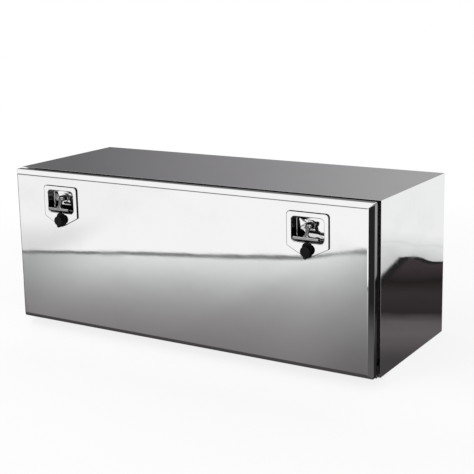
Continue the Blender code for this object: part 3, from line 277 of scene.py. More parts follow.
class ShaderValue:
    """A number that comes out of a node, on which Python's operators add Math nodes."""

    def __init__(self, graph: NodeGraph, socket: bpy.types.NodeSocket) -> None:
        """Keeps the graph and the socket."""
        self.graph = graph
        self.socket = socket

    def _math(self, operation: str, *values: Any) -> "ShaderValue":
        """Adds one Math node on some values.

        Args:
            operation: The Math node's operation.
            *values: Numbers or values, in the node's order.

        Returns:
            The result.
        """
        settings = {"operation": operation}
        node = self.graph.add("ShaderNodeMath", settings, dict(enumerate(values)))
        return ShaderValue(self.graph, node.outputs[0])

    def __add__(self, other: Any) -> "ShaderValue":
        """Adds."""
        return self._math("ADD", self, other)

    def __radd__(self, other: Any) -> "ShaderValue":
        """Adds, from the right."""
        return self._math("ADD", other, self)

    def __sub__(self, other: Any) -> "ShaderValue":
        """Subtracts."""
        return self._math("SUBTRACT", self, other)

    def __rsub__(self, other: Any) -> "ShaderValue":
        """Subtracts, from the right."""
        return self._math("SUBTRACT", other, self)

    def __mul__(self, other: Any) -> "ShaderValue":
        """Multiplies."""
        return self._math("MULTIPLY", self, other)

    def __rmul__(self, other: Any) -> "ShaderValue":
        """Multiplies, from the right."""
        return self._math("MULTIPLY", other, self)

    def __truediv__(self, other: Any) -> "ShaderValue":
        """Divides."""
        return self._math("DIVIDE", self, other)

    def __rtruediv__(self, other: Any) -> "ShaderValue":
        """Divides, from the right."""
        return self._math("DIVIDE", other, self)

    def __pow__(self, other: Any) -> "ShaderValue":
        """Raises to a power."""
        return self._math("POWER", self, other)

    def __neg__(self) -> "ShaderValue":
        """Changes the sign."""
        return self._math("MULTIPLY", self, -1.0)

    def __abs__(self) -> "ShaderValue":
        """Drops the sign."""
        return self._math("ABSOLUTE", self)

    def most(self, other: Any) -> "ShaderValue":
        """Gives the larger of two values."""
        return self._math("MAXIMUM", self, other)

    def sine(self) -> "ShaderValue":
        """Gives the sine of the value."""
        return self._math("SINE", self)

    def rise(self, low: float, high: float) -> "ShaderValue":
        """Goes smoothly from 0 at low to 1 at high."""
        node = self.graph.add(
            "ShaderNodeMapRange",
            {"interpolation_type": "SMOOTHSTEP"},
            {"Value": self, "From Min": low, "From Max": high},
        )
        return ShaderValue(self.graph, node.outputs[0])

    def ramp(self, stops: Sequence[tuple[float, Colour]]) -> bpy.types.NodeSocket:
        """Turns the value into a colour by a ramp's stops."""
        node = self.graph.add("ShaderNodeValToRGB", {"stops": stops}, {0: self})
        return node.outputs[0]


# ---------------------------------------------------------------------------------------------
# Finishes


def new_material(name: str) -> tuple[bpy.types.Material, NodeGraph]:
    """Makes an empty node material and its graph.

    Args:
        name: The material's name.

    Returns:
        The material and its graph.
    """
    material = bpy.data.materials.new(name)
    material.use_nodes = True
    return material, NodeGraph(material.node_tree)


def principled(graph: NodeGraph, sockets: dict[str, Any]) -> None:
    """Ends a graph in one Principled shader."""
    shader = graph.add("ShaderNodeBsdfPrincipled", None, sockets)
    graph.add("ShaderNodeOutputMaterial", None, {"Surface": shader.outputs[0]})


@dataclass(frozen=True)
class PolishedSheet:
    """Mirror-polished stainless sheet, a little wavy from rolling and bending."""

    colour: Colour = (0.90, 0.90, 0.90)
    stained: Colour = (0.85, 0.845, 0.84)
    roughness: float = 0.018
    smudge: float = 0.03
    wave_scale: float = 3.6
    wave_height: float = 0.0004
    ripple_scale: float = 17.0
    ripple_height: float = 0.00006
    scratch_height: float = 0.0000045
    # painted shade: the dark colour given to the door's edge flange beside the seal, where the gap
    # lies in shade
    film: Colour = (0.20, 0.20, 0.20)
    film_side: float = 0.6197
    film_top: float = 0.4877
    film_reach: Pair = (-0.2600, -0.2400)

    def make(self) -> bpy.types.Material:
        """Makes the material, with painted shade darkening the door's edge beside the seal.

        Returns:
            The material.
        """
        material, graph = new_material("polished stainless")
        wave = graph.noise(self.wave_scale, (0.75, 1.0, 1.3), 0.6, (3.1, 0.4, 1.7))
        ripple = graph.noise(self.ripple_scale, (0.6, 1.0, 1.2), 1.0, (0.3, 2.4, 0.9))
        scratch = graph.noise(60.0, (0.6, 12.0, 14.0), 3.0, (0.0, 0.0, 0.0))
        cross = graph.noise(85.0, (9.0, 9.0, 0.7), 2.0, (1.3, 0.2, 0.5))
        smudge = graph.noise(7.0, (1.0, 1.0, 1.4), 4.0, (0.7, 0.1, 0.2)).rise(0.45, 0.75)
        wipe = graph.noise(30.0, (0.5, 1.0, 2.5), 5.0, (0.2, 0.6, 0.9)).rise(0.5, 0.8)
        normal = graph.bump(wave, self.wave_height)
        normal = graph.bump(ripple, self.ripple_height, normal)
        normal = graph.bump(scratch + cross * 0.5, self.scratch_height, normal)
        roughness = self.roughness + smudge * self.smudge + wipe * 0.02 + scratch * 0.02
        x, y, z = graph.place()
        # painted shade: the door's side and top flanges just outside the seal are darkened towards
        # this colour
        start, stop = self.film_reach
        beside = y.rise(start, start + 0.001) * (1.0 - y.rise(stop, stop + 0.001))
        outer = abs(x).rise(self.film_side, self.film_side + 0.0004)
        upper = z.rise(self.film_top, self.film_top + 0.0004)
        colour = graph.blend(smudge * 0.6, self.colour, self.stained)
        principled(
            graph,
            {
                "Base Color": graph.blend(outer.most(upper) * beside * 0.9, colour, self.film),
                "Metallic": 1.0,
                "Roughness": roughness,
                "Normal": normal,
            },
        )
        return material


@dataclass(frozen=True)
class BrushedSheet:
    """Stainless sheet with a brushed grain along X."""

    colour: Colour = (0.64, 0.64, 0.65)
    worn: Colour = (0.70, 0.70, 0.70)
    roughness: float = 0.26
    grain_height: float = 0.00002

    def make(self) -> bpy.types.Material:
        """Makes the material.

        Returns:
            The material.
        """
        material, graph = new_material("brushed stainless")
        grain = graph.noise(140.0, (0.12, 9.0, 9.0), 4.0, (0.4, 0.0, 0.8))
        patches = graph.noise(9.0, (1.0, 1.0, 1.0), 3.0, (0.9, 0.3, 0.1)).rise(0.35, 0.7)
        wave = graph.noise(4.0, (1.0, 1.0, 1.0), 0.5, (2.0, 0.6, 0.3))
        normal = graph.bump(grain, self.grain_height, graph.bump(wave, 0.0008))
        principled(
            graph,
            {
                "Base Color": graph.blend(grain * 0.5 + patches * 0.3, self.colour, self.worn),
                "Metallic": 1.0,
                "Roughness": self.roughness + grain * 0.1 + patches * 0.06,
                "Normal": normal,
            },
        )
        return material


@dataclass(frozen=True)
class PlatedSteel:
    """Zinc-plated steel, mottled and a little dull."""

    colour: Colour = (0.62, 0.62, 0.60)
    dull: Colour = (0.50, 0.50, 0.47)
    roughness: float = 0.30

    def make(self) -> bpy.types.Material:
        """Makes the material.

        Returns:
            The material.
        """
        material, graph = new_material("plated steel")
        spangle = graph.noise(260.0, (1.0, 1.0, 1.0), 2.0, (0.1, 0.5, 0.2))
        far_shade = graph.noise(45.0, (1.0, 1.0, 1.0), 3.0, (0.6, 0.2, 0.4)).rise(0.35, 0.7)
        principled(
            graph,
            {
                "Base Color": graph.blend(far_shade, self.colour, self.dull),
                "Metallic": 1.0,
                "Roughness": self.roughness + spangle * 0.12 + far_shade * 0.08,
                "Normal": graph.bump(spangle, 0.00002),
            },
        )
        return material


@dataclass(frozen=True)
class SatinCasting:
    """Cast stainless handle, polished by hand and dulled by use."""

    colour: Colour = (0.60, 0.59, 0.60)
    handled: Colour = (0.50, 0.49, 0.49)
    roughness: float = 0.12

    def make(self) -> bpy.types.Material:
        """Makes the material.

        Returns:
            The material.
        """
        material, graph = new_material("satin cast stainless")
        pores = graph.noise(900.0, (1.0, 1.0, 1.0), 3.0, (0.7, 0.3, 0.9))
        strokes = graph.noise(380.0, (0.3, 5.0, 5.0), 3.0, (0.2, 0.8, 0.5))
        worn = graph.noise(70.0, (1.0, 1.0, 1.0), 3.0, (0.5, 0.1, 0.6)).rise(0.4, 0.7)
        principled(
            graph,
            {
                "Base Color": graph.blend(worn, self.colour, self.handled),
                "Metallic": 1.0,
                "Roughness": self.roughness + strokes * 0.08 + worn * 0.05,
                "Normal": graph.bump(pores + strokes * 0.5, 0.000012),
            },
        )
        return material


@dataclass(frozen=True)
class BlackenedSteel:
    """Steel rivet with a black oxide skin."""

    colour: Colour = (0.030, 0.030, 0.032)
    rubbed: Colour = (0.085, 0.084, 0.084)
    roughness: float = 0.34

    def make(self) -> bpy.types.Material:
        """Makes the material.

        Returns:
            The material.
        """
        material, graph = new_material("blackened steel")
        skin = graph.noise(1100.0, (1.0, 1.0, 1.0), 3.0, (0.4, 0.2, 0.1))
        rub = graph.noise(260.0, (1.0, 1.0, 1.0), 3.0, (0.9, 0.5, 0.3)).rise(0.5, 0.75)
        principled(
            graph,
            {
                "Base Color": graph.blend(rub, self.colour, self.rubbed),
                "Metallic": 1.0,
                "Roughness": self.roughness + skin * 0.12,
                "Normal": graph.bump(skin, 0.00001),
            },
        )
        return material


@dataclass(frozen=True)
class MouldedPlastic:
    """Black moulded plastic with a fine eroded grain."""

    colour: Colour = (0.006, 0.006, 0.0065)
    rubbed: Colour = (0.016, 0.016, 0.017)
    roughness: float = 0.36

    def make(self) -> bpy.types.Material:
        """Makes the material.

        Returns:
            The material.
        """
        material, graph = new_material("black plastic")
        grain = graph.noise(1500.0, (1.0, 1.0, 1.0), 2.0, (0.2, 0.2, 0.7))
        rub = graph.noise(120.0, (1.0, 1.0, 1.0), 3.0, (0.5, 0.9, 0.1)).rise(0.5, 0.8)
        principled(
            graph,
            {
                "Base Color": graph.blend(rub * 0.5, self.colour, self.rubbed),
                "Roughness": self.roughness + grain * 0.08 + rub * 0.08,
                "IOR": 1.5,
                "Specular IOR Level": 0.14,
                "Normal": graph.bump(grain, 0.00003),
            },
        )
        return material


@dataclass(frozen=True)
class SealRubber:
    """Matt black cellular rubber."""

    colour: Colour = (0.011, 0.011, 0.011)
    dusty: Colour = (0.026, 0.025, 0.024)
    roughness: float = 0.72

    def make(self) -> bpy.types.Material:
        """Makes the material.

        Returns:
            The material.
        """
        material, graph = new_material("black rubber")
        skin = graph.noise(700.0, (1.0, 1.0, 1.0), 3.0, (0.3, 0.3, 0.3))
        dust = graph.noise(35.0, (1.0, 1.0, 1.0), 4.0, (0.8, 0.4, 0.6)).rise(0.45, 0.8)
        principled(
            graph,
            {
                "Base Color": graph.blend(dust, self.colour, self.dusty),
                "Roughness": self.roughness + skin * 0.12,
                "Normal": graph.bump(skin, 0.0001),
            },
        )
        return material


@dataclass(frozen=True)
class TurnedNylon:
    """Off-white nylon with faint turning marks."""

    colour: Colour = (0.72, 0.71, 0.66)
    aged: Colour = (0.62, 0.59, 0.50)

    def make(self) -> bpy.types.Material:
        """Makes the material.

        Returns:
            The material.
        """
        material, graph = new_material("nylon")
        marks = graph.noise(300.0, (0.3, 10.0, 0.3), 2.0, (0.1, 0.1, 0.1))
        age = graph.noise(90.0, (1.0, 1.0, 1.0), 3.0, (0.4, 0.7, 0.2)).rise(0.4, 0.75)
        principled(
            graph,
            {
                "Base Color": graph.blend(age * 0.6, self.colour, self.aged),
                "Roughness": 0.40 + marks * 0.12,
                "Normal": graph.bump(marks, 0.00002),
            },
        )
        return material


@dataclass(frozen=True)
class TurnedBrass:
    """Turned brass, tarnished in patches."""

    colour: Colour = (0.70, 0.53, 0.25)
    tarnish: Colour = (0.46, 0.33, 0.15)

    def make(self) -> bpy.types.Material:
        """Makes the material.

        Returns:
            The material.
        """
        material, graph = new_material("brass")
        marks = graph.noise(420.0, (0.3, 12.0, 0.3), 2.0, (0.5, 0.5, 0.5))
        patches = graph.noise(150.0, (1.0, 1.0, 1.0), 4.0, (0.1, 0.8, 0.3)).rise(0.45, 0.75)
        principled(
            graph,
            {
                "Base Color": graph.blend(patches, self.colour, self.tarnish),
                "Metallic": 1.0,
                "Roughness": 0.22 + marks * 0.10 + patches * 0.14,
                "Normal": graph.bump(marks, 0.00002),
            },
        )
        return material


class Finishes:
    """The box's materials by slot, each made once."""

    def __init__(self) -> None:
        """Makes every finish."""
        recipes = {
            Slot.POLISHED: PolishedSheet(),
            Slot.BRUSHED: BrushedSheet(),
            Slot.PLATED: PlatedSteel(),
            Slot.PLASTIC: MouldedPlastic(),
            Slot.RUBBER: SealRubber(),
            Slot.NYLON: TurnedNylon(),
            Slot.BRASS: TurnedBrass(),
        }
        self.by_slot = {slot: recipe.make() for slot, recipe in recipes.items()}
        self.satin = SatinCasting().make()
        self.blackened = BlackenedSteel().make()

    def dress_node(self, node: str, slot: Slot) -> None:
        """Gives a CAD node that stays its finish."""
        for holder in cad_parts[node].material_slots:
            holder.material = self.by_slot[slot]


# ---------------------------------------------------------------------------------------------
# Mesh work


@dataclass(frozen=True)
class Outline:
    """A closed outline of (X, Z) corners, each rounded by its own reach along its edges."""

    corners: tuple[Pair, ...]
    reaches: tuple[float, ...]

    @staticmethod
    def rectangle(low: Pair, high: Pair, radius: float) -> "Outline":
        """Makes an upright rectangle with four like corners."""
        corners = (low, (high[0], low[1]), high, (low[0], high[1]))
        return Outline(corners, (radius,) * 4)


class Workshop:
    """Mesh tools that every sub-assembly uses."""

    CORNER_STEPS = 8
    ROUND_STEPS = 48
    SHARP = math.radians(32)
    MERGE = 0.000004

    @staticmethod
    def rounded(points: Sequence[Pair], reaches: Sequence[float], steps: int) -> list[Pair]:
        """Rounds the bends of an open run of points.

        Args:
            points: The run's points in their plane.
            reaches: How far each bend's rounding runs along its edges.
            steps: Facets of each rounding.

        Returns:
            The run with its roundings, in order.
        """
        bm = bmesh.new()
        corners = [bm.verts.new((u, v, 0.0)) for u, v in points]
        for pair in zip(corners, corners[1:]):
            bm.edges.new(pair)
        current = corners[0]
        for corner, reach in zip(corners, reaches):
            if reach > 0.0:
                Workshop.bevel(bm, [corner], reach, steps, "VERTICES")
        run = [(current.co.x, current.co.y)]
        behind = None
        while True:
            onward = [edge for edge in current.link_edges if edge is not behind]
            if not onward:
                break
            behind = onward[0]
            current = behind.other_vert(current)
            run.append((current.co.x, current.co.y))
        bm.free()
        return run

    @staticmethod
    def bevel(bm: bmesh.types.BMesh, geom: list, offset: float, steps: int, affect: str) -> None:
        """Bevels vertices or edges with round profiles."""
        bmesh.ops.bevel(
            bm,
            geom=geom,
            offset=offset,
            offset_type="OFFSET",
            segments=steps,
            profile=0.5,
            affect=affect,
            material=-1,
            clamp_overlap=True,
        )

    @staticmethod
    def ring(bm: bmesh.types.BMesh, outline: Outline, y: float, steps: int) -> list:
        """Adds an outline as a closed wire in the plane at y.

        Args:
            bm: The mesh it goes into.
            outline: The outline, with its roundings.
            y: The plane's place.
            steps: Facets of each rounding.

        Returns:
            The wire's edges.
        """
        old = set(bm.edges)
        corners = [bm.verts.new((x, y, z)) for x, z in outline.corners]
        for first, second in zip(corners, corners[1:] + corners[:1]):
            bm.edges.new((first, second))
        for corner, reach in zip(corners, outline.reaches):
            if reach > 0.0:
                Workshop.bevel(bm, [corner], reach, steps, "VERTICES")
        return [edge for edge in bm.edges if edge not in old]

    @staticmethod
    def hole(bm: bmesh.types.BMesh, place: Pair, y: float, radius: float, steps: int) -> list:
        """Adds a circle as a closed wire in the plane at y and gives its edges.

        Args:
            bm: The mesh that gets the wire.
            place: The circle's middle along X and Z.
            y: The plane it lies in.
            radius: Its radius.
            steps: How many edges it has.

        Returns:
            Its edges.
        """
        old = set(bm.edges)
        matrix = Axis.Y.disc_matrix(place[0], place[1], y)
        bmesh.ops.create_circle(
            bm, cap_ends=False, cap_tris=False, segments=steps, radius=radius, matrix=matrix
        )
        return [edge for edge in bm.edges if edge not in old]

    @staticmethod
    def fill(bm: bmesh.types.BMesh, *wires: list) -> None:
        """Fills the flat area between an outer wire and the wires inside it."""
        edges = [edge for wire in wires for edge in wire]
        bmesh.ops.triangle_fill(bm, use_beauty=True, use_dissolve=False, edges=edges)

    @staticmethod
    def sweep(
        bm: bmesh.types.BMesh,
        low: Pair,
        high: Pair,
        radius: float,
        tightest: float,
        profile: Sequence[Pair],
        closed: bool = False,
    ) -> tuple[list, list]:
        """Sweeps a profile round an upright rectangle.

        Args:
            bm: The mesh it goes into.
            low: The rectangle's low corner.
            high: Its high corner.
            radius: Its corners' radius where the inset is 0.
            tightest: The smallest radius that a corner may have.
            profile: (inset, y) points.
            closed: Whether the last point joins the first.

        Returns:
            The edges of the first and of the last ring.
        """
        rings = []
        for inset, y in profile:
            outline = Outline.rectangle(
                (low[0] + inset, low[1] + inset),
                (high[0] - inset, high[1] - inset),
                max(radius - inset, tightest),
            )
            rings.append(Workshop.ring(bm, outline, y, Workshop.CORNER_STEPS))
        pairs = list(zip(rings, rings[1:]))
        if closed:
            pairs.append((rings[-1], rings[0]))
        for first, second in pairs:
            bmesh.ops.bridge_loops(bm, edges=first + second)
        return rings[0], rings[-1]

    @staticmethod
    def lathe(
        bm: bmesh.types.BMesh,
        axis: Axis,
        centre: Vector,
        profile: Sequence[Pair],
        steps: int = ROUND_STEPS,
    ) -> None:
        """Spins (radius, along) points round an axis through a centre.

        Args:
            bm: The mesh it goes into.
            axis: The axis to turn round.
            centre: A point on it.
            profile: The points, from pole to pole, or a ring's closed run.
            steps: Facets round the shape.
        """
        start = [bm.verts.new(centre + axis.point(0.0, r, along)) for r, along in profile]
        runs = list(zip(start, start[1:]))
        if profile[0][0] > 0.0:
            runs.append((start[-1], start[0]))
        edges = [bm.edges.new(pair) for pair in runs]
        bmesh.ops.spin(
            bm,
            geom=start + edges,
            cent=centre,
            axis=axis.direction,
            angle=math.tau,
            steps=steps,
            use_merge=True,
        )
        bmesh.ops.remove_doubles(bm, verts=bm.verts[:], dist=Workshop.MERGE)

    @staticmethod
    def band(
        bm: bmesh.types.BMesh,
        axis: Axis,
        discs: Iterable[tuple[float, float, float]],
        low: float,
        high: float,
        steps: int = 32,
    ) -> None:
        """Adds the solid that a band stretched round some discs would bound.

        Args:
            bm: The mesh it goes into.
            axis: The axis that the discs lie square to.
            discs: (u, v, radius) of each disc.
            low: Where the solid starts along the axis.
            high: Where it ends.
            steps: Facets of each disc.
        """
        part = bmesh.new()
        for u, v, radius in discs:
            for along in (low, high):
                bmesh.ops.create_circle(
                    part,
                    cap_ends=False,
                    cap_tris=False,
                    segments=steps,
                    radius=radius,
                    matrix=axis.disc_matrix(u, v, along),
                )
        bmesh.ops.convex_hull(part, input=part.verts[:], use_existing_faces=False)
        loose = [vert for vert in part.verts if not vert.link_faces]
        bmesh.ops.delete(part, geom=loose, context="VERTS")
        bmesh.ops.dissolve_limit(
            part, angle_limit=math.radians(1), verts=part.verts[:], edges=part.edges[:]
        )
        bmesh.ops.recalc_face_normals(part, faces=part.faces[:])
        Workshop.pour(part, bm)

    @staticmethod
    def block(bm: bmesh.types.BMesh, low: Sequence[float], high: Sequence[float]) -> None:
        """Adds a square-edged block between two corners.

        Args:
            bm: The mesh that gets the block.
            low: Its lowest corner.
            high: Its highest corner.
        """
        size = [b - a for a, b in zip(low, high)]
        middle = [(a + b) / 2 for a, b in zip(low, high)]
        matrix = Matrix.Translation(middle) @ Matrix.Diagonal((*size, 1.0))
        bmesh.ops.create_cube(bm, size=1.0, matrix=matrix)

    @staticmethod
    def pour(source: bmesh.types.BMesh, target: bmesh.types.BMesh) -> None:
        """Moves one mesh into another.

        Args:
            source: The mesh that is moved, which is used up.
            target: The mesh that gets it.
        """
        holder = bpy.data.meshes.new("holder")
        source.to_mesh(holder)
        source.free()
        target.from_mesh(holder)
        bpy.data.meshes.remove(holder)

    @staticmethod
    def soften(
        bm: bmesh.types.BMesh, offset: float, steps: int = 2, angle: float = 40.0
    ) -> None:
        """Rounds every edge that is sharper than an angle, given in degrees.

        Args:
            bm: The mesh that is softened.
            offset: How far the rounding reaches.
            steps: Segments of the rounding.
            angle: The angle past which an edge is sharp, in degrees.
        """
        limit = math.radians(angle)
        sharp = [e for e in bm.edges if len(e.link_faces) == 2 and e.calc_face_angle() > limit]
        Workshop.bevel(bm, sharp, offset, steps, "EDGES")

    @staticmethod
    def thicken(bm: bmesh.types.BMesh, thickness: float) -> None:
        """Gives an open sheet a thickness behind its faces."""
        bmesh.ops.solidify(bm, geom=bm.faces[:], thickness=thickness)

    @staticmethod
    def scratch_object(bm: bmesh.types.BMesh) -> bpy.types.Object:
        """Makes a passing object of a mesh, for modifiers that are applied at once.

        Args:
            bm: The mesh, which is used up.

        Returns:
            The passing object.
        """
        bmesh.ops.recalc_face_normals(bm, faces=bm.faces[:])
        mesh = bpy.data.meshes.new("passing")
        bm.to_mesh(mesh)
        bm.free()
        thing = bpy.data.objects.new("passing", mesh)
        bpy.context.scene.collection.objects.link(thing)
        return thing

    @staticmethod
    def applied(thing: bpy.types.Object, *others: bpy.types.Object) -> bmesh.types.BMesh:
        """Gives a passing object's mesh with its modifiers applied, and removes the objects.

        Args:
            thing: The object whose modifiers are applied.
            *others: Objects that its modifiers use, which go too.

        Returns:
            The mesh that results.
        """
        graph = bpy.context.evaluated_depsgraph_get()
        mesh = bpy.data.meshes.new_from_object(thing.evaluated_get(graph))
        result = bmesh.new()
        result.from_mesh(mesh)
        bpy.data.meshes.remove(mesh)
        for passing in (thing, *others):
            old = passing.data
            bpy.data.objects.remove(passing)
            bpy.data.meshes.remove(old)
        return result

    @staticmethod
    def carve(
        bm: bmesh.types.BMesh, tools: Sequence[tuple[str, bmesh.types.BMesh]]
    ) -> bmesh.types.BMesh:
        """Cuts shapes from a solid, or joins them on.

        Args:
            bm: The solid; it is used up.
            tools: Pairs of a Boolean operation and the shape for it; the shapes are used up.

        Returns:
            The carved solid.
        """
        thing = Workshop.scratch_object(bm)
        others = []
        for operation, tool in tools:
            other = Workshop.scratch_object(tool)
            modifier = thing.modifiers.new("carve", "BOOLEAN")
            modifier.operation = operation
            modifier.solver = "EXACT"
            modifier.object = other
            others.append(other)
        return Workshop.applied(thing, *others)

    @staticmethod
    def cast(bm: bmesh.types.BMesh, voxel: float, passes: int) -> bmesh.types.BMesh:
        """Melts overlapping solids into one with soft fillets, as in a casting.

        Args:
            bm: The solids; they are used up.
            voxel: Size of the new faces.
            passes: How often the result is smoothed.

        Returns:
            The cast shape.
        """
        thing = Workshop.scratch_object(bm)
        modifier = thing.modifiers.new("cast", "REMESH")
        modifier.mode = "VOXEL"
        modifier.voxel_size = voxel
        result = Workshop.applied(thing)
        for _ in range(passes):
            bmesh.ops.smooth_vert(
                result,
                verts=result.verts[:],
                factor=0.5,
                use_axis_x=True,
                use_axis_y=True,
                use_axis_z=True,
            )
        return result

    @staticmethod
    def node_mesh(node: str) -> bmesh.types.BMesh:
        """Gives a merged copy of a CAD node's mesh with its flat faces joined.

        Args:
            node: The CAD node's name.

        Returns:
            The copy.
        """
        bm = bmesh.new()
        bm.from_mesh(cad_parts[node].data)
        bmesh.ops.remove_doubles(bm, verts=bm.verts[:], dist=Workshop.MERGE)
        bmesh.ops.dissolve_limit(
            bm, angle_limit=math.radians(0.5), verts=bm.verts[:], edges=bm.edges[:]
        )
        return bm


class Assembly:
    """What every sub-assembly of the box can do: finish a mesh and hang it on a body."""

    def __init__(self, finishes: Finishes) -> None:
        """Keeps the finishes."""
        self.finishes = finishes

    def finish(
        self,
        name: str,
        bm: bmesh.types.BMesh,
        slot: Slot,
        body: str,
        *nodes: str,
    ) -> bpy.types.Object:
        """Turns a mesh into a finished piece.

        Args:
            name: The piece's name.
            bm: Its mesh, which is used up.
            slot: The slot whose finish it wears.
            body: The CAD body that carries it.
            *nodes: The CAD nodes that it stands for.

        Returns:
            The piece.
        """
        bmesh.ops.recalc_face_normals(bm, faces=bm.faces[:])
        mesh = bpy.data.meshes.new(name)
        bm.to_mesh(mesh)
        bm.free()
        mesh.materials.append(self.finishes.by_slot[slot])
        mesh.shade_smooth()
        mesh.set_sharp_from_angle(angle=Workshop.SHARP)
        piece = bpy.data.objects.new(name, mesh)
        bpy.context.scene.collection.objects.link(piece)
        weighted = piece.modifiers.new("weighted", "WEIGHTED_NORMAL")
        weighted.mode = "FACE_AREA"
        weighted.weight = 100
        weighted.keep_sharp = True
        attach(piece, body)
        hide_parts(*nodes)
        LOG.info("%s: %d faces on %s", name, len(mesh.polygons), body)
        return piece

    def refine(self, node: str, slot: Slot, body: str, round_off: float) -> bpy.types.Object:
        """Stands in for a CAD node with its own shape and softened edges.

        Args:
            node: The CAD node's name.
            slot: The slot whose finish it wears.
            body: The CAD body that carries it.
            round_off: How far its edges are rounded.

        Returns:
            The piece.
        """
        bm = Workshop.node_mesh(node)
        Workshop.soften(bm, round_off)
        return self.finish(f"{node}_fine", bm, slot, body, node)


# ---------------------------------------------------------------------------------------------
# The box


@dataclass(frozen=True)
class BoxSizes:
    """Planes and sheet sizes of the body, in metres."""

    side: float = 0.625
    front: float = -0.228
    back: float = 0.228
    height: float = 0.490
    sheet: float = 0.0015
    bend: float = 0.003
    front_bend: float = 0.0004
    top_lip: float = 0.042
    bottom_lip: float = 0.050
    side_lip: float = 0.036
    gap: float = 0.0003
    stay_inset: float = 0.045
    stud_slot: float = 0.0018
    stud_radius: float = 0.007
    stud_neck: float = 0.004
    stud_nose: float = 0.0012
    stud_edge: float = 0.0004
    seal_width: float = 0.014
    seal_nose: float = 0.0045
    seal_heel: float = 0.0018
    seal_corner: float = 0.016
    seal_inner: float = 0.002
    end_rim: float = 0.0006


class BoxBody(Assembly):
    """The wrapped body sheet, the two end panels, and what is fixed inside them."""

    def __init__(self, finishes: Finishes, sizes: BoxSizes) -> None:
        """Keeps the finishes and the sizes."""
        super().__init__(finishes)
        self.sizes = sizes

    def build(self) -> None:
        """Builds every piece of the body."""
        self.shell()
        self.seal()
        for end in End:
            self.end_panel(end)
            self.refine(f"roof_channel_{end.label}", Slot.BRUSHED, "box", SHEET_EDGE)
            self.refine(f"keeper_plate_{end.label}", Slot.PLATED, "box", FINE_EDGE)
            self.stay_stud(end)

    def shell(self) -> None:
        """Builds the bottom, back and top sheet with the lips round the opening."""
        s = self.sizes
        inner_front, inner_back = s.front + s.sheet, s.back - s.sheet
        inner_top = s.height - s.sheet
        lip = s.height - s.top_lip
        corners = [
            (s.front, lip),
            (inner_front, lip),
            (inner_front, inner_top),
            (inner_back, inner_top),
            (inner_back, s.sheet),
            (inner_front, s.sheet),
            (inner_front, s.bottom_lip),
            (s.front, s.bottom_lip),
            (s.front, 0.0),
            (s.back, 0.0),
            (s.back, s.height),
            (s.front, s.height),
            (s.front, lip),
        ]
        inside = s.bend - s.sheet
        reaches = [0.0, 0.0, 0.0, *[inside] * 3, 0.0, 0.0, *[s.bend] * 3, s.front_bend, 0.0]
        run = Workshop.rounded(corners, reaches, 5)[:-1]
        half = s.side - s.sheet - s.gap
        bm = bmesh.new()
        face = bm.faces.new([bm.verts.new((-half, y, z)) for y, z in run])
        grown = bmesh.ops.extrude_face_region(bm, geom=[face])["geom"]
        moved = [part for part in grown if isinstance(part, bmesh.types.BMVert)]
        bmesh.ops.translate(bm, verts=moved, vec=(2 * half, 0.0, 0.0))
        self.finish("body_sheet", bm, Slot.POLISHED, "box", "body_shell")

    def end_panel(self, end: End) -> None:
        """Builds one end sheet and the lip beside the opening.

        Args:
            end: Which end of the box.
        """
        s = self.sizes
        low, high = end.span(s.side - s.sheet, s.side)
        bm = bmesh.new()
        Workshop.block(bm, (low, s.front, 0.0), (high, s.back, s.height))
        across = [e for e in bm.edges if abs(e.verts[0].co.x - e.verts[1].co.x) > s.sheet / 2]
        brow = max(across, key=lambda edge: edge.verts[0].co.z - edge.verts[0].co.y)
        across.remove(brow)
        Workshop.bevel(bm, across, s.bend, 6, "EDGES")
        Workshop.bevel(bm, [brow], s.front_bend, 6, "EDGES")
        outer = end.value * s.side
        rim = [
            edge
            for edge in bm.edges
            if all(abs(v.co.x - outer) < s.gap for v in edge.verts)
            and edge.calc_face_angle(0.0) > 1.0
        ]
        Workshop.bevel(bm, rim, s.end_rim, 3, "EDGES")
        lip = bmesh.new()
        near, far = end.span(s.side - s.side_lip, s.side - s.sheet / 2)
        Workshop.block(
            lip,
            (near, s.front + s.gap, s.bottom_lip + s.gap),
            (far, s.front + s.sheet, s.height - s.top_lip - s.gap),
        )
        Workshop.soften(lip, FINE_EDGE)
        Workshop.pour(lip, bm)
        node = f"end_panel_{end.label}"
        self.finish(f"end_sheet_{end.label}", bm, Slot.POLISHED, "box", node)

    def seal(self) -> None:
        """Builds the soft ring that the door shuts on, round towards the door."""
        s = self.sizes
        low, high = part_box("door_seal")
        across = s.seal_width
        middle = across / 2
        front, rear = low.y, high.y
        profile = Workshop.rounded(
            [
                (middle, front),
                (across, front),
                (across, rear),
                (0.0, rear),
                (0.0, front),
                (middle, front),
            ],
            [0.0, s.seal_nose, s.seal_heel, s.seal_heel, s.seal_nose, 0.0],
            4,
        )[:-1]
        bm = bmesh.new()
        start, stop = (low.x, low.z), (high.x, high.z)
        Workshop.sweep(bm, start, stop, s.seal_corner, s.seal_inner, profile, closed=True)
        self.finish("seal_ring", bm, Slot.RUBBER, "box", "door_seal")

    def stay_stud(self, end: End) -> None:
        """Builds the shouldered stud that the stay's slot runs on.

        Args:
            end: Which end of the box.
        """
        node = f"stay_stud_{end.label}"
        low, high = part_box(node)
        centre = Vector((0.0, (low.y + high.y) / 2, (low.z + high.z) / 2))
        head, wall = sorted((abs(low.x), abs(high.x)))
        s = self.sizes
        plane = s.side - s.stay_inset
        inner, outer = plane - s.stud_slot, plane + s.stud_slot
        profile = Workshop.rounded(
            [
                (0.0, head),
                (s.stud_radius, head),
                (s.stud_radius, inner),
                (s.stud_neck, inner),
                (s.stud_neck, outer),
                (s.stud_radius, outer),
                (s.stud_radius, wall),
                (0.0, wall),
            ],
            [0.0, s.stud_nose, s.stud_edge, 0.0, 0.0, s.stud_edge, s.stud_edge, 0.0],
            3,
        )
        bm = bmesh.new()
        mirrored = [(radius, end.value * along) for radius, along in profile]
        Workshop.lathe(bm, Axis.X, centre, mirrored, 40)
        self.finish(f"stud_{end.label}", bm, Slot.PLATED, "box", node)


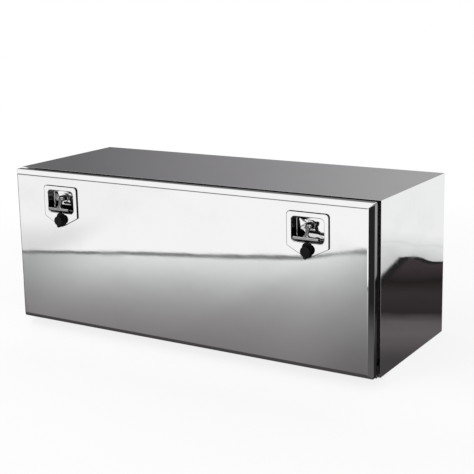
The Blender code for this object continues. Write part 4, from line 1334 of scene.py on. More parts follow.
@dataclass(frozen=True)
class HingeSizes:
    """Sizes of the continuous hinge, in metres."""

    axis_y: float = -0.235
    axis_z: float = 0.0048
    half: float = 0.619
    knuckle: float = 0.0045
    bore: float = 0.00235
    pin: float = 0.002
    leaf: float = 0.0012
    leaf_low: float = 0.0055
    leaf_top: float = 0.032
    count: int = 25
    gap: float = 0.0005
    neck: float = 0.003
    neck_low: float = 0.0015
    neck_high: float = 0.002


class Hinge(Assembly):
    """The continuous hinge: two leaves with alternate knuckles, and the pin."""

    def __init__(self, finishes: Finishes, sizes: HingeSizes) -> None:
        """Keeps the finishes and the sizes."""
        super().__init__(finishes)
        self.sizes = sizes

    def build(self) -> None:
        """Builds both leaves and the pin."""
        self.leaf("hinge_body_leaf", "box", 0)
        self.leaf("hinge_door_leaf", "door", 1)
        s = self.sizes
        bm = bmesh.new()
        profile = Workshop.rounded(
            [(0.0, -s.half), (s.pin, -s.half), (s.pin, s.half), (0.0, s.half)],
            [0.0, 0.0006, 0.0006, 0.0],
            3,
        )
        Workshop.lathe(bm, Axis.X, Vector((0.0, s.axis_y, s.axis_z)), profile, 24)
        self.finish("hinge_rod", bm, Slot.PLATED, "box", "hinge_pin")

    def leaf(self, node: str, body: str, first: int) -> None:
        """Builds one leaf.

        Args:
            node: The CAD node that it stands for.
            body: The body that it rides on.
            first: The number of its first knuckle; it has every second one from there.
        """
        s = self.sizes
        low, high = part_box(node)
        plate_y = high.y - s.leaf if body == "box" else low.y
        bm = bmesh.new()
        Workshop.block(
            bm, (-s.half, plate_y, s.leaf_low), (s.half, plate_y + s.leaf, s.leaf_top)
        )
        Workshop.soften(bm, FINE_EDGE)
        pitch = 2 * s.half / s.count
        middle = plate_y + s.leaf / 2
        for index in range(first, s.count, 2):
            start = -s.half + pitch * index + s.gap / 2
            end = start + pitch - s.gap
            tube = Workshop.rounded(
                [
                    (s.bore, start),
                    (s.knuckle, start),
                    (s.knuckle, end),
                    (s.bore, end),
                ],
                [0.0, 0.0004, 0.0004, 0.0],
                2,
            )
            Workshop.lathe(bm, Axis.X, Vector((0.0, s.axis_y, s.axis_z)), tube, 24)
            neck = sorted((s.axis_y + math.copysign(s.neck, middle - s.axis_y), middle))
            Workshop.block(
                bm,
                (start, neck[0] - s.leaf / 2, s.axis_z + s.neck_low),
                (end, neck[1] + s.leaf / 2, s.leaf_low + s.neck_high),
            )
        self.finish(f"{node}_fine", bm, Slot.BRUSHED, body, node)


@dataclass(frozen=True)
class DoorSizes:
    """Sizes of the door's pan and liner, in metres."""

    half: float = 0.621
    low: float = 0.004
    high: float = 0.489
    back: float = -0.242
    front: float = -0.272
    bevel: float = 0.014
    corner: float = 0.006
    crease: float = 0.002
    fold: float = 0.006
    lip: float = 0.056
    sheet: float = 0.0015
    liner_sheet: float = 0.0012
    liner_flange: float = 0.010
    liner_step: float = 0.0042
    shaft_hole: float = 0.0095
    corner_inner: float = 0.0004
    window_gap: float = 0.0015
    liner_web: float = 0.012
    liner_bend: float = 0.0012
    liner_corner: float = 0.010
    liner_inner: float = 0.004


class Door(Assembly):
    """The bevelled pan and the stepped liner behind it."""

    def __init__(self, finishes: Finishes, sizes: DoorSizes, latch: "LatchSizes") -> None:
        """Keeps the finishes, the sizes and the latches' sizes, whose holes it has.

        Args:
            finishes: The finishes of all the pieces.
            sizes: The sub-assembly's sizes.
            latch: The latches' sizes.
        """
        super().__init__(finishes)
        self.sizes = sizes
        self.latch = latch

    def build(self) -> None:
        """Builds the pan and the liner."""
        self.pan()
        self.liner()

    def pan(self) -> None:
        """Builds the outer pan with its bevel all round and its return lip."""
        s = self.sizes
        slant, fold = (bend * math.tan(math.radians(HALF_BEVEL)) for bend in (s.crease, s.fold))
        profile = Workshop.rounded(
            [
                (s.lip, s.back),
                (0.0, s.back),
                (0.0, s.front + s.bevel),
                (s.bevel, s.front),
                (2 * s.bevel, s.front),
            ],
            [0.0, s.crease, slant, fold, 0.0],
            6,
        )
        bm = bmesh.new()
        _, rim = Workshop.sweep(
            bm, (-s.half, s.low), (s.half, s.high), s.corner, s.corner_inner, profile
        )
        wires = [rim]
        for end in End:
            window = self.latch.window(end, s.window_gap)
            wires.append(Workshop.ring(bm, window, s.front, 8))
            lock = (end.value * self.latch.offset, self.latch.lock_height)
            wires.append(Workshop.hole(bm, lock, s.front, self.latch.lock_hole, 32))
        Workshop.fill(bm, *wires)
        self.sheet_back(bm, s.sheet, Vector((0.0, 1.0, 0.0)))
        self.finish("door_pan", bm, Slot.POLISHED, "door", "door_skin")

    def liner(self) -> None:
        """Builds the stepped inner sheet with a hole for each spindle."""
        s = self.sizes
        low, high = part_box("door_liner")
        flange_back = high.y - s.liner_step
        step_end = s.liner_flange + s.liner_step
        profile = Workshop.rounded(
            [
                (0.0, flange_back),
                (s.liner_flange, flange_back),
                (step_end, high.y),
                (step_end + s.liner_web, high.y),
            ],
            [0.0, s.liner_bend, s.liner_bend, 0.0],
            4,
        )
        bm = bmesh.new()
        _, rim = Workshop.sweep(
            bm, (low.x, low.z), (high.x, high.z), s.liner_corner, s.liner_inner, profile
        )
        wires = [rim]
        for end in End:
            place = (end.value * self.latch.offset, self.latch.spindle_height)
            wires.append(Workshop.hole(bm, place, high.y, s.shaft_hole, 40))
        Workshop.fill(bm, *wires)
        self.sheet_back(bm, s.liner_sheet, Vector((0.0, -1.0, 0.0)))
        self.finish("door_lining", bm, Slot.BRUSHED, "door", "door_liner")

    @staticmethod
    def sheet_back(bm: bmesh.types.BMesh, thickness: float, behind: Vector) -> None:
        """Turns the faces of an open sheet away from a direction and thickens it that way.

        Args:
            bm: The sheet.
            thickness: How thick it gets.
            behind: The way that its back faces.
        """
        bmesh.ops.recalc_face_normals(bm, faces=bm.faces[:])
        largest = max(bm.faces, key=lambda face: face.calc_area())
        if largest.normal.dot(behind) > 0.0:
            bmesh.ops.reverse_faces(bm, faces=bm.faces[:])
        Workshop.thicken(bm, thickness)


@dataclass(frozen=True)
class LatchSizes:
    """Places and sizes of a latch and its lock, in metres."""

    offset: float = 0.431
    spindle_height: float = 0.410
    plate_half: float = 0.0635
    plate_top: float = 0.4485
    plate_knee: float = 0.3535
    plate_tip: float = 0.321
    gasket_back: float = -0.2723
    gasket_front: float = -0.2743
    lip_front: float = -0.2757
    lip_inset: float = 0.0003
    lip_proud: float = 0.0008
    plate_inset: float = 0.0005
    plate_back: float = -0.2746
    plate_front: float = -0.2761
    window_half: float = 0.050
    window_low: float = 0.366
    window_high: float = 0.435
    window_radius: float = 0.012
    lip_round: float = 0.0022
    taper: float = 0.003
    floor: float = -0.2488
    floor_round: float = 0.001
    bush_hole: float = 0.0071
    pivot_y: float = -0.2703
    bar_y: float = -0.2845
    bar_z: float = 0.378
    bar_radius: float = 0.005
    bar_half: float = 0.039
    stem: float = 0.010
    knuckle: float = 0.0065
    stem_end: float = 0.0042
    ear: float = 0.0045
    ear_radius: float = 0.007
    hub_radius: float = 0.013
    hub_front: float = -0.25545
    hub_rear: float = -0.24945
    shaft: float = 0.005
    lock_height: float = 0.343
    rim_margin: float = 0.006
    lock_margin: float = 0.014
    shield_rounds: tuple[float, ...] = (0.003, 0.0065, 0.003, 0.010, 0.010)
    window_inner: float = 0.002
    rim_angle: float = 1.2
    rim_round: float = 0.0012
    gasket_window: float = 0.0018
    plate_edge: float = 0.0002
    collar: float = -0.2243
    collar_radius: float = 0.008
    collar_depth: float = 0.003
    ear_root: float = 0.003
    ear_gap: float = 0.0003
    ear_foot: float = 0.001
    ear_bore: float = 0.0028
    ear_round: float = 0.0005
    pin_head: float = 0.004
    pin_radius: float = 0.0025
    pin_dome: float = 0.001
    bar_round: float = 0.0013
    stem_round: float = 0.0042
    root_back: float = 0.0008
    root_rise: float = 0.006
    root_end: float = 0.0028
    root_half: float = 0.003
    root_round: float = 0.0015
    cast_round: float = 0.0006
    handle_bore: float = 0.0029
    flange_gap: float = 0.0003
    flange: float = 0.0025
    flange_rise: float = 0.008
    flange_radius: float = 0.016
    flange_round: float = 0.0007
    neck_radius: float = 0.013
    neck_round: float = 0.0006
    shank_radius: float = 0.011
    shank_length: float = 0.022
    bore_mouth: float = 0.0093
    bore_radius: float = 0.00835
    bore_lead: float = 0.0009
    rivet_hole: float = 0.0023
    rivet_depth: float = 0.0063
    plug_radius: float = 0.008
    tail_radius: float = 0.004
    tail_length: float = 0.005
    key_half: float = 0.0007
    key_height: float = 0.0045
    key_depth: float = 0.008
    ward_left: float = 0.0016
    ward_right: float = 0.0002
    ward_low: float = 0.0018
    ward_high: float = 0.0006
    tab_step: float = 0.0004
    tab_margin: float = 0.0003
    tab_top: float = 0.004
    tab_round: float = 0.001
    cover_hole: float = 0.00235
    rivet_head: float = 0.0035
    rivet_shank: float = 0.002
    rivet_dome: float = 0.0008
    lock_hole: float = 0.0113
    lock_face: float = -0.2874
    cover_front: float = -0.2927
    cover_back: float = -0.2877
    cover_axis: float = 0.3275
    cover_radius: float = 0.015
    tab_radius: float = 0.0055

    def window(self, end: End, growth: float) -> Outline:
        """Gives the outline of the dish's window on one side, grown by a margin.

        Args:
            end: Which end of the box the latch is on.
            growth: The margin, all round.

        Returns:
            The outline.
        """
        middle = end.value * self.offset
        half = self.window_half + growth
        return Outline.rectangle(
            (middle - half, self.window_low - growth),
            (middle + half, self.window_high + growth),
            self.window_radius + growth,
        )

    def shield(self, end: End, inset: float) -> Outline:
        """Gives the latch plate's outline on one side, drawn in by a margin.

        Args:
            end: The side of the box.
            inset: The margin.

        Returns:
            The outline: square above, a blunt point below.
        """
        middle = end.value * self.offset
        slope = (self.plate_knee - self.plate_tip) / self.plate_half
        half = self.plate_half - inset
        tip = self.plate_tip + inset * math.hypot(1.0, slope)
        knee = tip + slope * half
        top = self.plate_top - inset
        corners = (
            (middle - half, knee),
            (middle, tip),
            (middle + half, knee),
            (middle + half, top),
            (middle - half, top),
        )
        return Outline(corners, self.shield_rounds)


class Latch(Assembly):
    """One recessed folding T-handle latch, without its lock."""

    def __init__(self, finishes: Finishes, sizes: LatchSizes, end: End) -> None:
        """Keeps the finishes, the sizes and the side.

        Args:
            finishes: The finishes of all the pieces.
            sizes: The sub-assembly's sizes.
            end: Which end of the box it is on.
        """
        super().__init__(finishes)
        self.sizes = sizes
        self.end = end
        self.middle = end.value * sizes.offset

    def build(self) -> None:
        """Builds every piece of the latch."""
        label = self.end.label
        self.dish()
        self.gasket()
        self.spindle()
        self.pivot_pin()
        self.handle()
        self.refine(f"latch_backing_plate_{label}", Slot.PLATED, "door", self.sizes.plate_edge)
        self.refine(f"pawl_{label}", Slot.PLATED, f"spindle_{label}", SHEET_EDGE)
        self.refine(f"pawl_nut_{label}", Slot.PLATED, f"spindle_{label}", SHEET_EDGE)
        self.finishes.dress_node(f"spindle_bush_{label}", Slot.NYLON)

    def dish(self) -> None:
        """Builds the shield-shaped plate with its deep pressed dish."""
        s = self.sizes
        bm = bmesh.new()
        edge = Workshop.ring(bm, s.shield(self.end, s.plate_inset), s.plate_front, 8)
        profile = Workshop.rounded(
            [
                (-3 * s.lip_round, s.plate_front),
                (0.0, s.plate_front),
                (s.taper, s.floor),
                (s.taper + 2 * s.floor_round, s.floor),
            ],
            [0.0, s.lip_round, s.floor_round, 0.0],
            6,
        )
        window = s.window(self.end, 0.0)
        mouth, foot = Workshop.sweep(
            bm, window.corners[0], window.corners[2], s.window_radius, s.window_inner, profile
        )
        lock = Workshop.hole(bm, (self.middle, s.lock_height), s.plate_front, s.lock_hole, 40)
        Workshop.fill(bm, edge, mouth, lock)
        bush = Workshop.hole(bm, (self.middle, s.spindle_height), s.floor, s.bush_hole, 40)
        Workshop.fill(bm, foot, bush)
        Door.sheet_back(bm, s.plate_back - s.plate_front, Vector((0.0, 1.0, 0.0)))
        rim = [
            e
            for e in bm.edges
            if len(e.link_faces) == 2
            and e.calc_face_angle() > s.rim_angle
            and all(v.co.y < s.plate_front + TOUCH for v in e.verts)
            and self.on_rim(e)
        ]
        Workshop.bevel(bm, rim, s.rim_round, 4, "EDGES")
        label = self.end.label
        self.finish(f"dish_{label}", bm, Slot.POLISHED, "door", f"latch_dish_{label}")

    def gasket(self) -> None:
        """Builds the rubber sheet between the plate and the door, with its lip round the plate."""
        s = self.sizes
        bm = bmesh.new()
        edge = Workshop.ring(bm, s.shield(self.end, s.lip_inset + TOUCH), s.gasket_front, 8)
        window = Workshop.ring(bm, s.window(self.end, s.gasket_window), s.gasket_front, 8)
        lock = Workshop.hole(bm, (self.middle, s.lock_height), s.gasket_front, s.lock_hole, 40)
        Workshop.fill(bm, edge, window, lock)
        behind = Vector((0.0, 1.0, 0.0))
        Door.sheet_back(bm, s.gasket_back - s.gasket_front, behind)
        lip = bmesh.new()
        outer = Workshop.ring(lip, s.shield(self.end, -s.lip_proud), s.lip_front, 8)
        inner = Workshop.ring(lip, s.shield(self.end, s.lip_inset), s.lip_front, 8)
        Workshop.fill(lip, outer, inner)
        Door.sheet_back(lip, s.gasket_back - s.lip_front, behind)
        Workshop.pour(lip, bm)
        label = self.end.label
        self.finish(f"gasket_{label}", bm, Slot.RUBBER, "door", f"latch_gasket_{label}")

    def on_rim(self, edge: bmesh.types.BMEdge) -> bool:
        """Says whether an edge of the plate's front lies outside the dish's window.

        Args:
            edge: An edge of the plate's front.

        Returns:
            True where the edge is on the plate's own rim.
        """
        s = self.sizes
        place = (edge.verts[0].co + edge.verts[1].co) / 2
        inside_x = abs(place.x - self.middle) < s.window_half + s.rim_margin
        inside_z = s.window_low - s.rim_margin < place.z < s.window_high + s.rim_margin
        from_lock = math.hypot(place.x - self.middle, place.z - s.lock_height)
        near_lock = from_lock < s.lock_margin
        return not (inside_x and inside_z) and not near_lock

    def spindle(self) -> None:
        """Builds the turning hub with the two ears of the handle's pivot, and its shaft."""
        s = self.sizes
        label = self.end.label
        node = f"latch_spindle_{label}"
        _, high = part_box(node)
        profile = Workshop.rounded(
            [
                (0.0, s.hub_front),
                (s.hub_radius, s.hub_front),
                (s.hub_radius, s.hub_rear),
                (s.shaft, s.hub_rear),
                (s.shaft, s.collar - s.collar_depth),
                (s.collar_radius, s.collar - s.collar_depth),
                (s.collar_radius, s.collar),
                (s.shaft, s.collar),
                (s.shaft, high.y),
                (0.0, high.y),
            ],
            [0.0, 0.0012, 0.0003, 0.0, 0.0, 0.0004, 0.0004, 0.0, 0.0006, 0.0],
            3,
        )
        bm = bmesh.new()
        centre = Vector((self.middle, 0.0, s.spindle_height))
        Workshop.lathe(bm, Axis.Y, centre, profile)
        inner = s.stem / 2 + s.ear_gap
        root = s.hub_front + s.ear_root
        for side in (-1.0, 1.0):
            low, top = sorted((side * inner, side * (inner + s.ear)))
            ear = bmesh.new()
            discs = [
                (s.pivot_y, s.spindle_height, s.ear_radius),
                (root, s.spindle_height - s.ear_radius + s.ear_foot, s.ear_foot),
                (root, s.spindle_height + s.ear_radius - s.ear_foot, s.ear_foot),
            ]
            Workshop.band(ear, Axis.X, discs, self.middle + low, self.middle + top, 40)
            bore = bmesh.new()
            reach = inner + s.ear + OVERRUN
            place = Vector((self.middle, s.pivot_y, s.spindle_height))
            rod = [(0.0, -reach), (s.ear_bore, -reach), (s.ear_bore, reach), (0.0, reach)]
            Workshop.lathe(bore, Axis.X, place, rod, 32)
            ear = Workshop.carve(ear, [("DIFFERENCE", bore)])
            Workshop.soften(ear, s.ear_round)
            Workshop.pour(ear, bm)
        self.finish(f"spindle_hub_{label}", bm, Slot.POLISHED, f"spindle_{label}", node)

    def pivot_pin(self) -> None:
        """Builds the domed pin through the ears and the handle."""
        s = self.sizes
        label = self.end.label
        node = f"handle_pivot_pin_{label}"
        low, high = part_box(node)
        reach = (high.x - low.x) / 2
        head = reach - s.pin_dome
        profile = Workshop.rounded(
            [
                (0.0, -reach),
                (s.pin_head, -reach),
                (s.pin_head, -head),
                (s.pin_radius, -head),
                (s.pin_radius, head),
                (s.pin_head, head),
                (s.pin_head, reach),
                (0.0, reach),
            ],
            [0.0, 0.0008, 0.0, 0.0, 0.0, 0.0, 0.0008, 0.0],
            3,
        )
        bm = bmesh.new()
        place = Vector((self.middle, s.pivot_y, s.spindle_height))
        Workshop.lathe(bm, Axis.X, place, profile, 32)
        self.finish(f"pivot_pin_{label}", bm, Slot.PLATED, f"spindle_{label}", node)

    def handle(self) -> None:
        """Builds the cast T-handle: a round bar on a flat stem."""
        s = self.sizes
        label = self.end.label
        bm = bmesh.new()
        profile = Workshop.rounded(
            [
                (0.0, -s.bar_half),
                (s.bar_radius, -s.bar_half),
                (s.bar_radius, s.bar_half),
                (0.0, s.bar_half),
            ],
            [0.0, s.bar_round, s.bar_round, 0.0],
            5,
        )
        Workshop.lathe(bm, Axis.X, Vector((self.middle, s.bar_y, s.bar_z)), profile)
        half = s.stem / 2
        stem = bmesh.new()
        discs = [(s.pivot_y, s.spindle_height, s.knuckle), (s.bar_y, s.bar_z, s.stem_end)]
        Workshop.band(stem, Axis.X, discs, self.middle - half, self.middle + half, 40)
        Workshop.soften(stem, s.stem_round, 6, SHARP)
        root = bmesh.new()
        discs = [
            (s.bar_y + s.root_back, s.bar_z + s.root_rise, s.root_end),
            (s.bar_y, s.bar_z, s.stem_end),
        ]
        near, far = self.middle - half - s.root_half, self.middle + half + s.root_half
        Workshop.band(root, Axis.X, discs, near, far)
        Workshop.soften(root, s.root_round, 3, SHARP)
        Workshop.pour(stem, bm)
        Workshop.pour(root, bm)
        cast = Workshop.cast(bm, s.cast_round, 6)
        bore = bmesh.new()
        reach = half + OVERRUN
        place = Vector((self.middle, s.pivot_y, s.spindle_height))
        rod = [(0.0, -reach), (s.handle_bore, -reach), (s.handle_bore, reach), (0.0, reach)]
        Workshop.lathe(bore, Axis.X, place, rod, 32)
        cast = Workshop.carve(cast, [("DIFFERENCE", bore)])
        piece = f"t_bar_{label}"
        node = f"t_handle_{label}"
        handle = self.finish(piece, cast, Slot.POLISHED, f"handle_{label}", node)
        handle.data.materials[0] = self.finishes.satin


class KeyLock(Assembly):
    """The key lock under one latch's dish, with its swinging cover."""

    def __init__(self, finishes: Finishes, sizes: LatchSizes, end: End) -> None:
        """Keeps the finishes, the sizes and the side.

        Args:
            finishes: The finishes of all the pieces.
            sizes: The sub-assembly's sizes.
            end: Which end of the box it is on.
        """
        super().__init__(finishes)
        self.sizes = sizes
        self.end = end
        self.middle = end.value * sizes.offset

    def build(self) -> None:
        """Builds every piece of the lock."""
        label = self.end.label
        self.housing()
        self.plug()
        self.cover()
        self.rivet()
        self.refine(f"lock_nut_{label}", Slot.PLATED, "door", SHEET_EDGE)
        self.refine(f"lock_cam_{label}", Slot.PLATED, f"key_{label}", FINE_EDGE)

    def housing(self) -> None:
        """Builds the flange, the barrel and the shank, bored for the plug and the rivet."""
        s = self.sizes
        label = self.end.label
        flange_back = s.plate_front - s.flange_gap
        flange_front = flange_back - s.flange
        bm = bmesh.new()
        flange = [
            (self.middle, s.lock_height + s.flange_rise, s.flange_radius),
            (self.middle, s.cover_axis, s.tab_radius + s.tab_margin),
        ]
        Workshop.band(bm, Axis.Y, flange, flange_front, flange_back, 56)
        Workshop.soften(bm, s.flange_round, 3, SHARP)
        barrel = bmesh.new()
        neck = [
            (self.middle, s.lock_height, s.neck_radius),
            (self.middle, s.cover_axis, s.tab_radius - s.tab_margin),
        ]
        Workshop.band(barrel, Axis.Y, neck, s.lock_face, flange_back - OVERLAP, 56)
        Workshop.soften(barrel, s.neck_round, 3, SHARP)
        shank = bmesh.new()
        end = flange_back + s.shank_length
        rod = Workshop.rounded(
            [
                (0.0, flange_back - OVERLAP),
                (s.shank_radius, flange_back - OVERLAP),
                (s.shank_radius, end),
                (0.0, end),
            ],
            [0.0, 0.0, 0.0006, 0.0],
            2,
        )
        Workshop.lathe(shank, Axis.Y, Vector((self.middle, 0.0, s.lock_height)), rod)
        bore = bmesh.new()
        place = Vector((self.middle, 0.0, s.lock_height))
        hole = [
            (0.0, s.lock_face - OVERLAP),
            (s.bore_mouth, s.lock_face - OVERLAP),
            (s.bore_radius, s.lock_face + s.bore_lead),
            (s.bore_radius, end + OVERRUN),
            (0.0, end + OVERRUN),
        ]
        Workshop.lathe(bore, Axis.Y, place, hole)
        rivet = bmesh.new()
        place = Vector((self.middle, 0.0, s.cover_axis))
        hole = [
            (0.0, s.lock_face - OVERRUN),
            (s.rivet_hole, s.lock_face - OVERRUN),
            (s.rivet_hole, s.cover_back + s.rivet_depth),
            (0.0, s.cover_back + s.rivet_depth),
        ]
        Workshop.lathe(rivet, Axis.Y, place, hole, 24)
        tools = [
            ("UNION", barrel),
            ("UNION", shank),
            ("DIFFERENCE", bore),
            ("DIFFERENCE", rivet),
        ]
        bm = Workshop.carve(bm, tools)
        node = f"lock_housing_{label}"
        self.finish(f"lock_barrel_{label}", bm, Slot.PLASTIC, "door", node)

    def plug(self) -> None:
        """Builds the turning plug with its keyway."""
        s = self.sizes
        label = self.end.label
        node = f"lock_plug_{label}"
        low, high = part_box(node)
        shoulder = high.y - s.tail_length
        profile = Workshop.rounded(
            [
                (0.0, low.y),
                (s.plug_radius, low.y),
                (s.plug_radius, shoulder),
                (s.tail_radius, shoulder),
                (s.tail_radius, high.y),
                (0.0, high.y),
            ],
            [0.0, 0.0006, 0.0003, 0.0, 0.0004, 0.0],
            3,
        )
        bm = bmesh.new()
        Workshop.lathe(bm, Axis.Y, Vector((self.middle, 0.0, s.lock_height)), profile)
        slot = bmesh.new()
        Workshop.block(
            slot,
            (self.middle - s.key_half, low.y - OVERRUN, s.lock_height - s.key_height),
            (self.middle + s.key_half, low.y + s.key_depth, s.lock_height + s.key_height),
        )
        ward = bmesh.new()
        Workshop.block(
            ward,
            (self.middle - s.ward_left, low.y - OVERRUN, s.lock_height - s.ward_low),
            (self.middle + s.ward_right, low.y + s.key_depth, s.lock_height - s.ward_high),
        )
        bm = Workshop.carve(bm, [("DIFFERENCE", slot), ("DIFFERENCE", ward)])
        self.finish(f"plug_{label}", bm, Slot.BRASS, f"key_{label}", node)

    def cover(self) -> None:
        """Builds the round cap with the narrow tab that it swings by."""
        s = self.sizes
        label = self.end.label
        bm = bmesh.new()
        cap = Workshop.rounded(
            [
                (0.0, s.cover_front),
                (s.cover_radius, s.cover_front),
                (s.cover_radius, s.cover_back),
                (0.0, s.cover_back),
            ],
            [0.0, 0.0016, 0.0004, 0.0],
            5,
        )
        Workshop.lathe(bm, Axis.Y, Vector((self.middle, 0.0, s.lock_height)), cap, 64)
        tab = bmesh.new()
        discs = [
            (self.middle, s.cover_axis, s.tab_radius),
            (self.middle, s.lock_height - s.tab_top, s.tab_radius),
        ]
        front = s.cover_front + s.tab_step
        Workshop.band(tab, Axis.Y, discs, front, s.cover_back, 40)
        Workshop.soften(tab, s.tab_round, 4, SHARP)
        hole = bmesh.new()
        rod = [
            (0.0, front - OVERLAP),
            (s.cover_hole, front - OVERLAP),
            (s.cover_hole, s.cover_back + OVERLAP),
            (0.0, s.cover_back + OVERLAP),
        ]
        Workshop.lathe(hole, Axis.Y, Vector((self.middle, 0.0, s.cover_axis)), rod, 24)
        bm = Workshop.carve(bm, [("UNION", tab), ("DIFFERENCE", hole)])
        node = f"lock_cover_{label}"
        self.finish(f"key_cover_{label}", bm, Slot.PLASTIC, f"cover_{label}", node)

    def rivet(self) -> None:
        """Builds the domed rivet that the cover swings on."""
        s = self.sizes
        label = self.end.label
        node = f"cover_rivet_{label}"
        low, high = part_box(node)
        head = low.y + s.rivet_dome
        profile = Workshop.rounded(
            [
                (0.0, low.y),
                (s.rivet_head, low.y),
                (s.rivet_head, head),
                (s.rivet_shank, head),
                (s.rivet_shank, high.y),
                (0.0, high.y),
            ],
            [0.0, 0.0006, 0.0, 0.0, 0.0004, 0.0],
            4,
        )
        bm = bmesh.new()
        Workshop.lathe(bm, Axis.Y, Vector((self.middle, 0.0, s.cover_axis)), profile, 32)
        rivet = self.finish(f"rivet_{label}", bm, Slot.POLISHED, "door", node)
        rivet.data.materials[0] = self.finishes.blackened


@dataclass(frozen=True)
class StaySizes:
    """Sizes of the stay's pin, in metres."""

    head: float = 0.0055
    head_depth: float = 0.002
    head_round: float = 0.0014
    shank: float = 0.003


class Stay(Assembly):
    """One slotted stay with the bracket and pin that it swings on."""

    def __init__(self, finishes: Finishes, sizes: StaySizes, end: End) -> None:
        """Keeps the finishes, the sizes and the side.

        Args:
            finishes: The finishes of all the pieces.
            sizes: The sub-assembly's sizes.
            end: Which end of the box it is on.
        """
        super().__init__(finishes)
        self.sizes = sizes
        self.end = end

    def build(self) -> None:
        """Builds the arm, the bracket and the pin."""
        label = self.end.label
        self.refine(f"stay_arm_{label}", Slot.BRUSHED, f"stay_{label}", SHEET_EDGE)
        self.refine(f"stay_bracket_{label}", Slot.BRUSHED, "door", SHEET_EDGE)
        self.pin()

    def pin(self) -> None:
        """Builds the headed pin through the bracket's ear and the arm."""
        s = self.sizes
        label = self.end.label
        node = f"stay_pin_{label}"
        low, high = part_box(node)
        centre = Vector((0.0, (low.y + high.y) / 2, (low.z + high.z) / 2))
        near, far = sorted((abs(low.x), abs(high.x)))
        profile = Workshop.rounded(
            [
                (0.0, near),
                (s.head, near),
                (s.head, near + s.head_depth),
                (s.shank, near + s.head_depth),
                (s.shank, far - s.head_depth),
                (s.head, far - s.head_depth),
                (s.head, far),
                (0.0, far),
            ],
            [0.0, s.head_round, 0.0, 0.0, 0.0, 0.0, s.head_round, 0.0],
            4,
        )
        mirrored = [(radius, self.end.value * along) for radius, along in profile]
        bm = bmesh.new()
        Workshop.lathe(bm, Axis.X, centre, mirrored, 32)
        self.finish(f"arm_pin_{label}", bm, Slot.PLATED, "door", node)


# ---------------------------------------------------------------------------------------------
# Studio


@dataclass(frozen=True)
class StudioSizes:
    """The floor, the camera and the light, in metres, degrees and plain strengths."""

    half: float = 7.0
    ledge_end: float = -0.200
    pit_start: float = -0.330
    pit_depth: float = 0.076
    floor_gap: float = 0.0004
    floor_round: float = 0.05
    camera: Colour = (1.77054, -2.79734, 1.06280)
    yaw: float = 31.740
    pitch: float = 11.690
    roll: float = -1.1614
    focal_pixels: float = 1089.4
    picture: float = 474.0
    centre_row: float = 205.0
    sensor: float = 36.0
    sky: float = 0.80
    lamp_power: float = 26.0
    lamp_size: float = 1.8
    lamp_place: Colour = (-0.9, -1.6, 2.6)
    lamp_aim: Colour = (0.0, -0.1, 0.3)


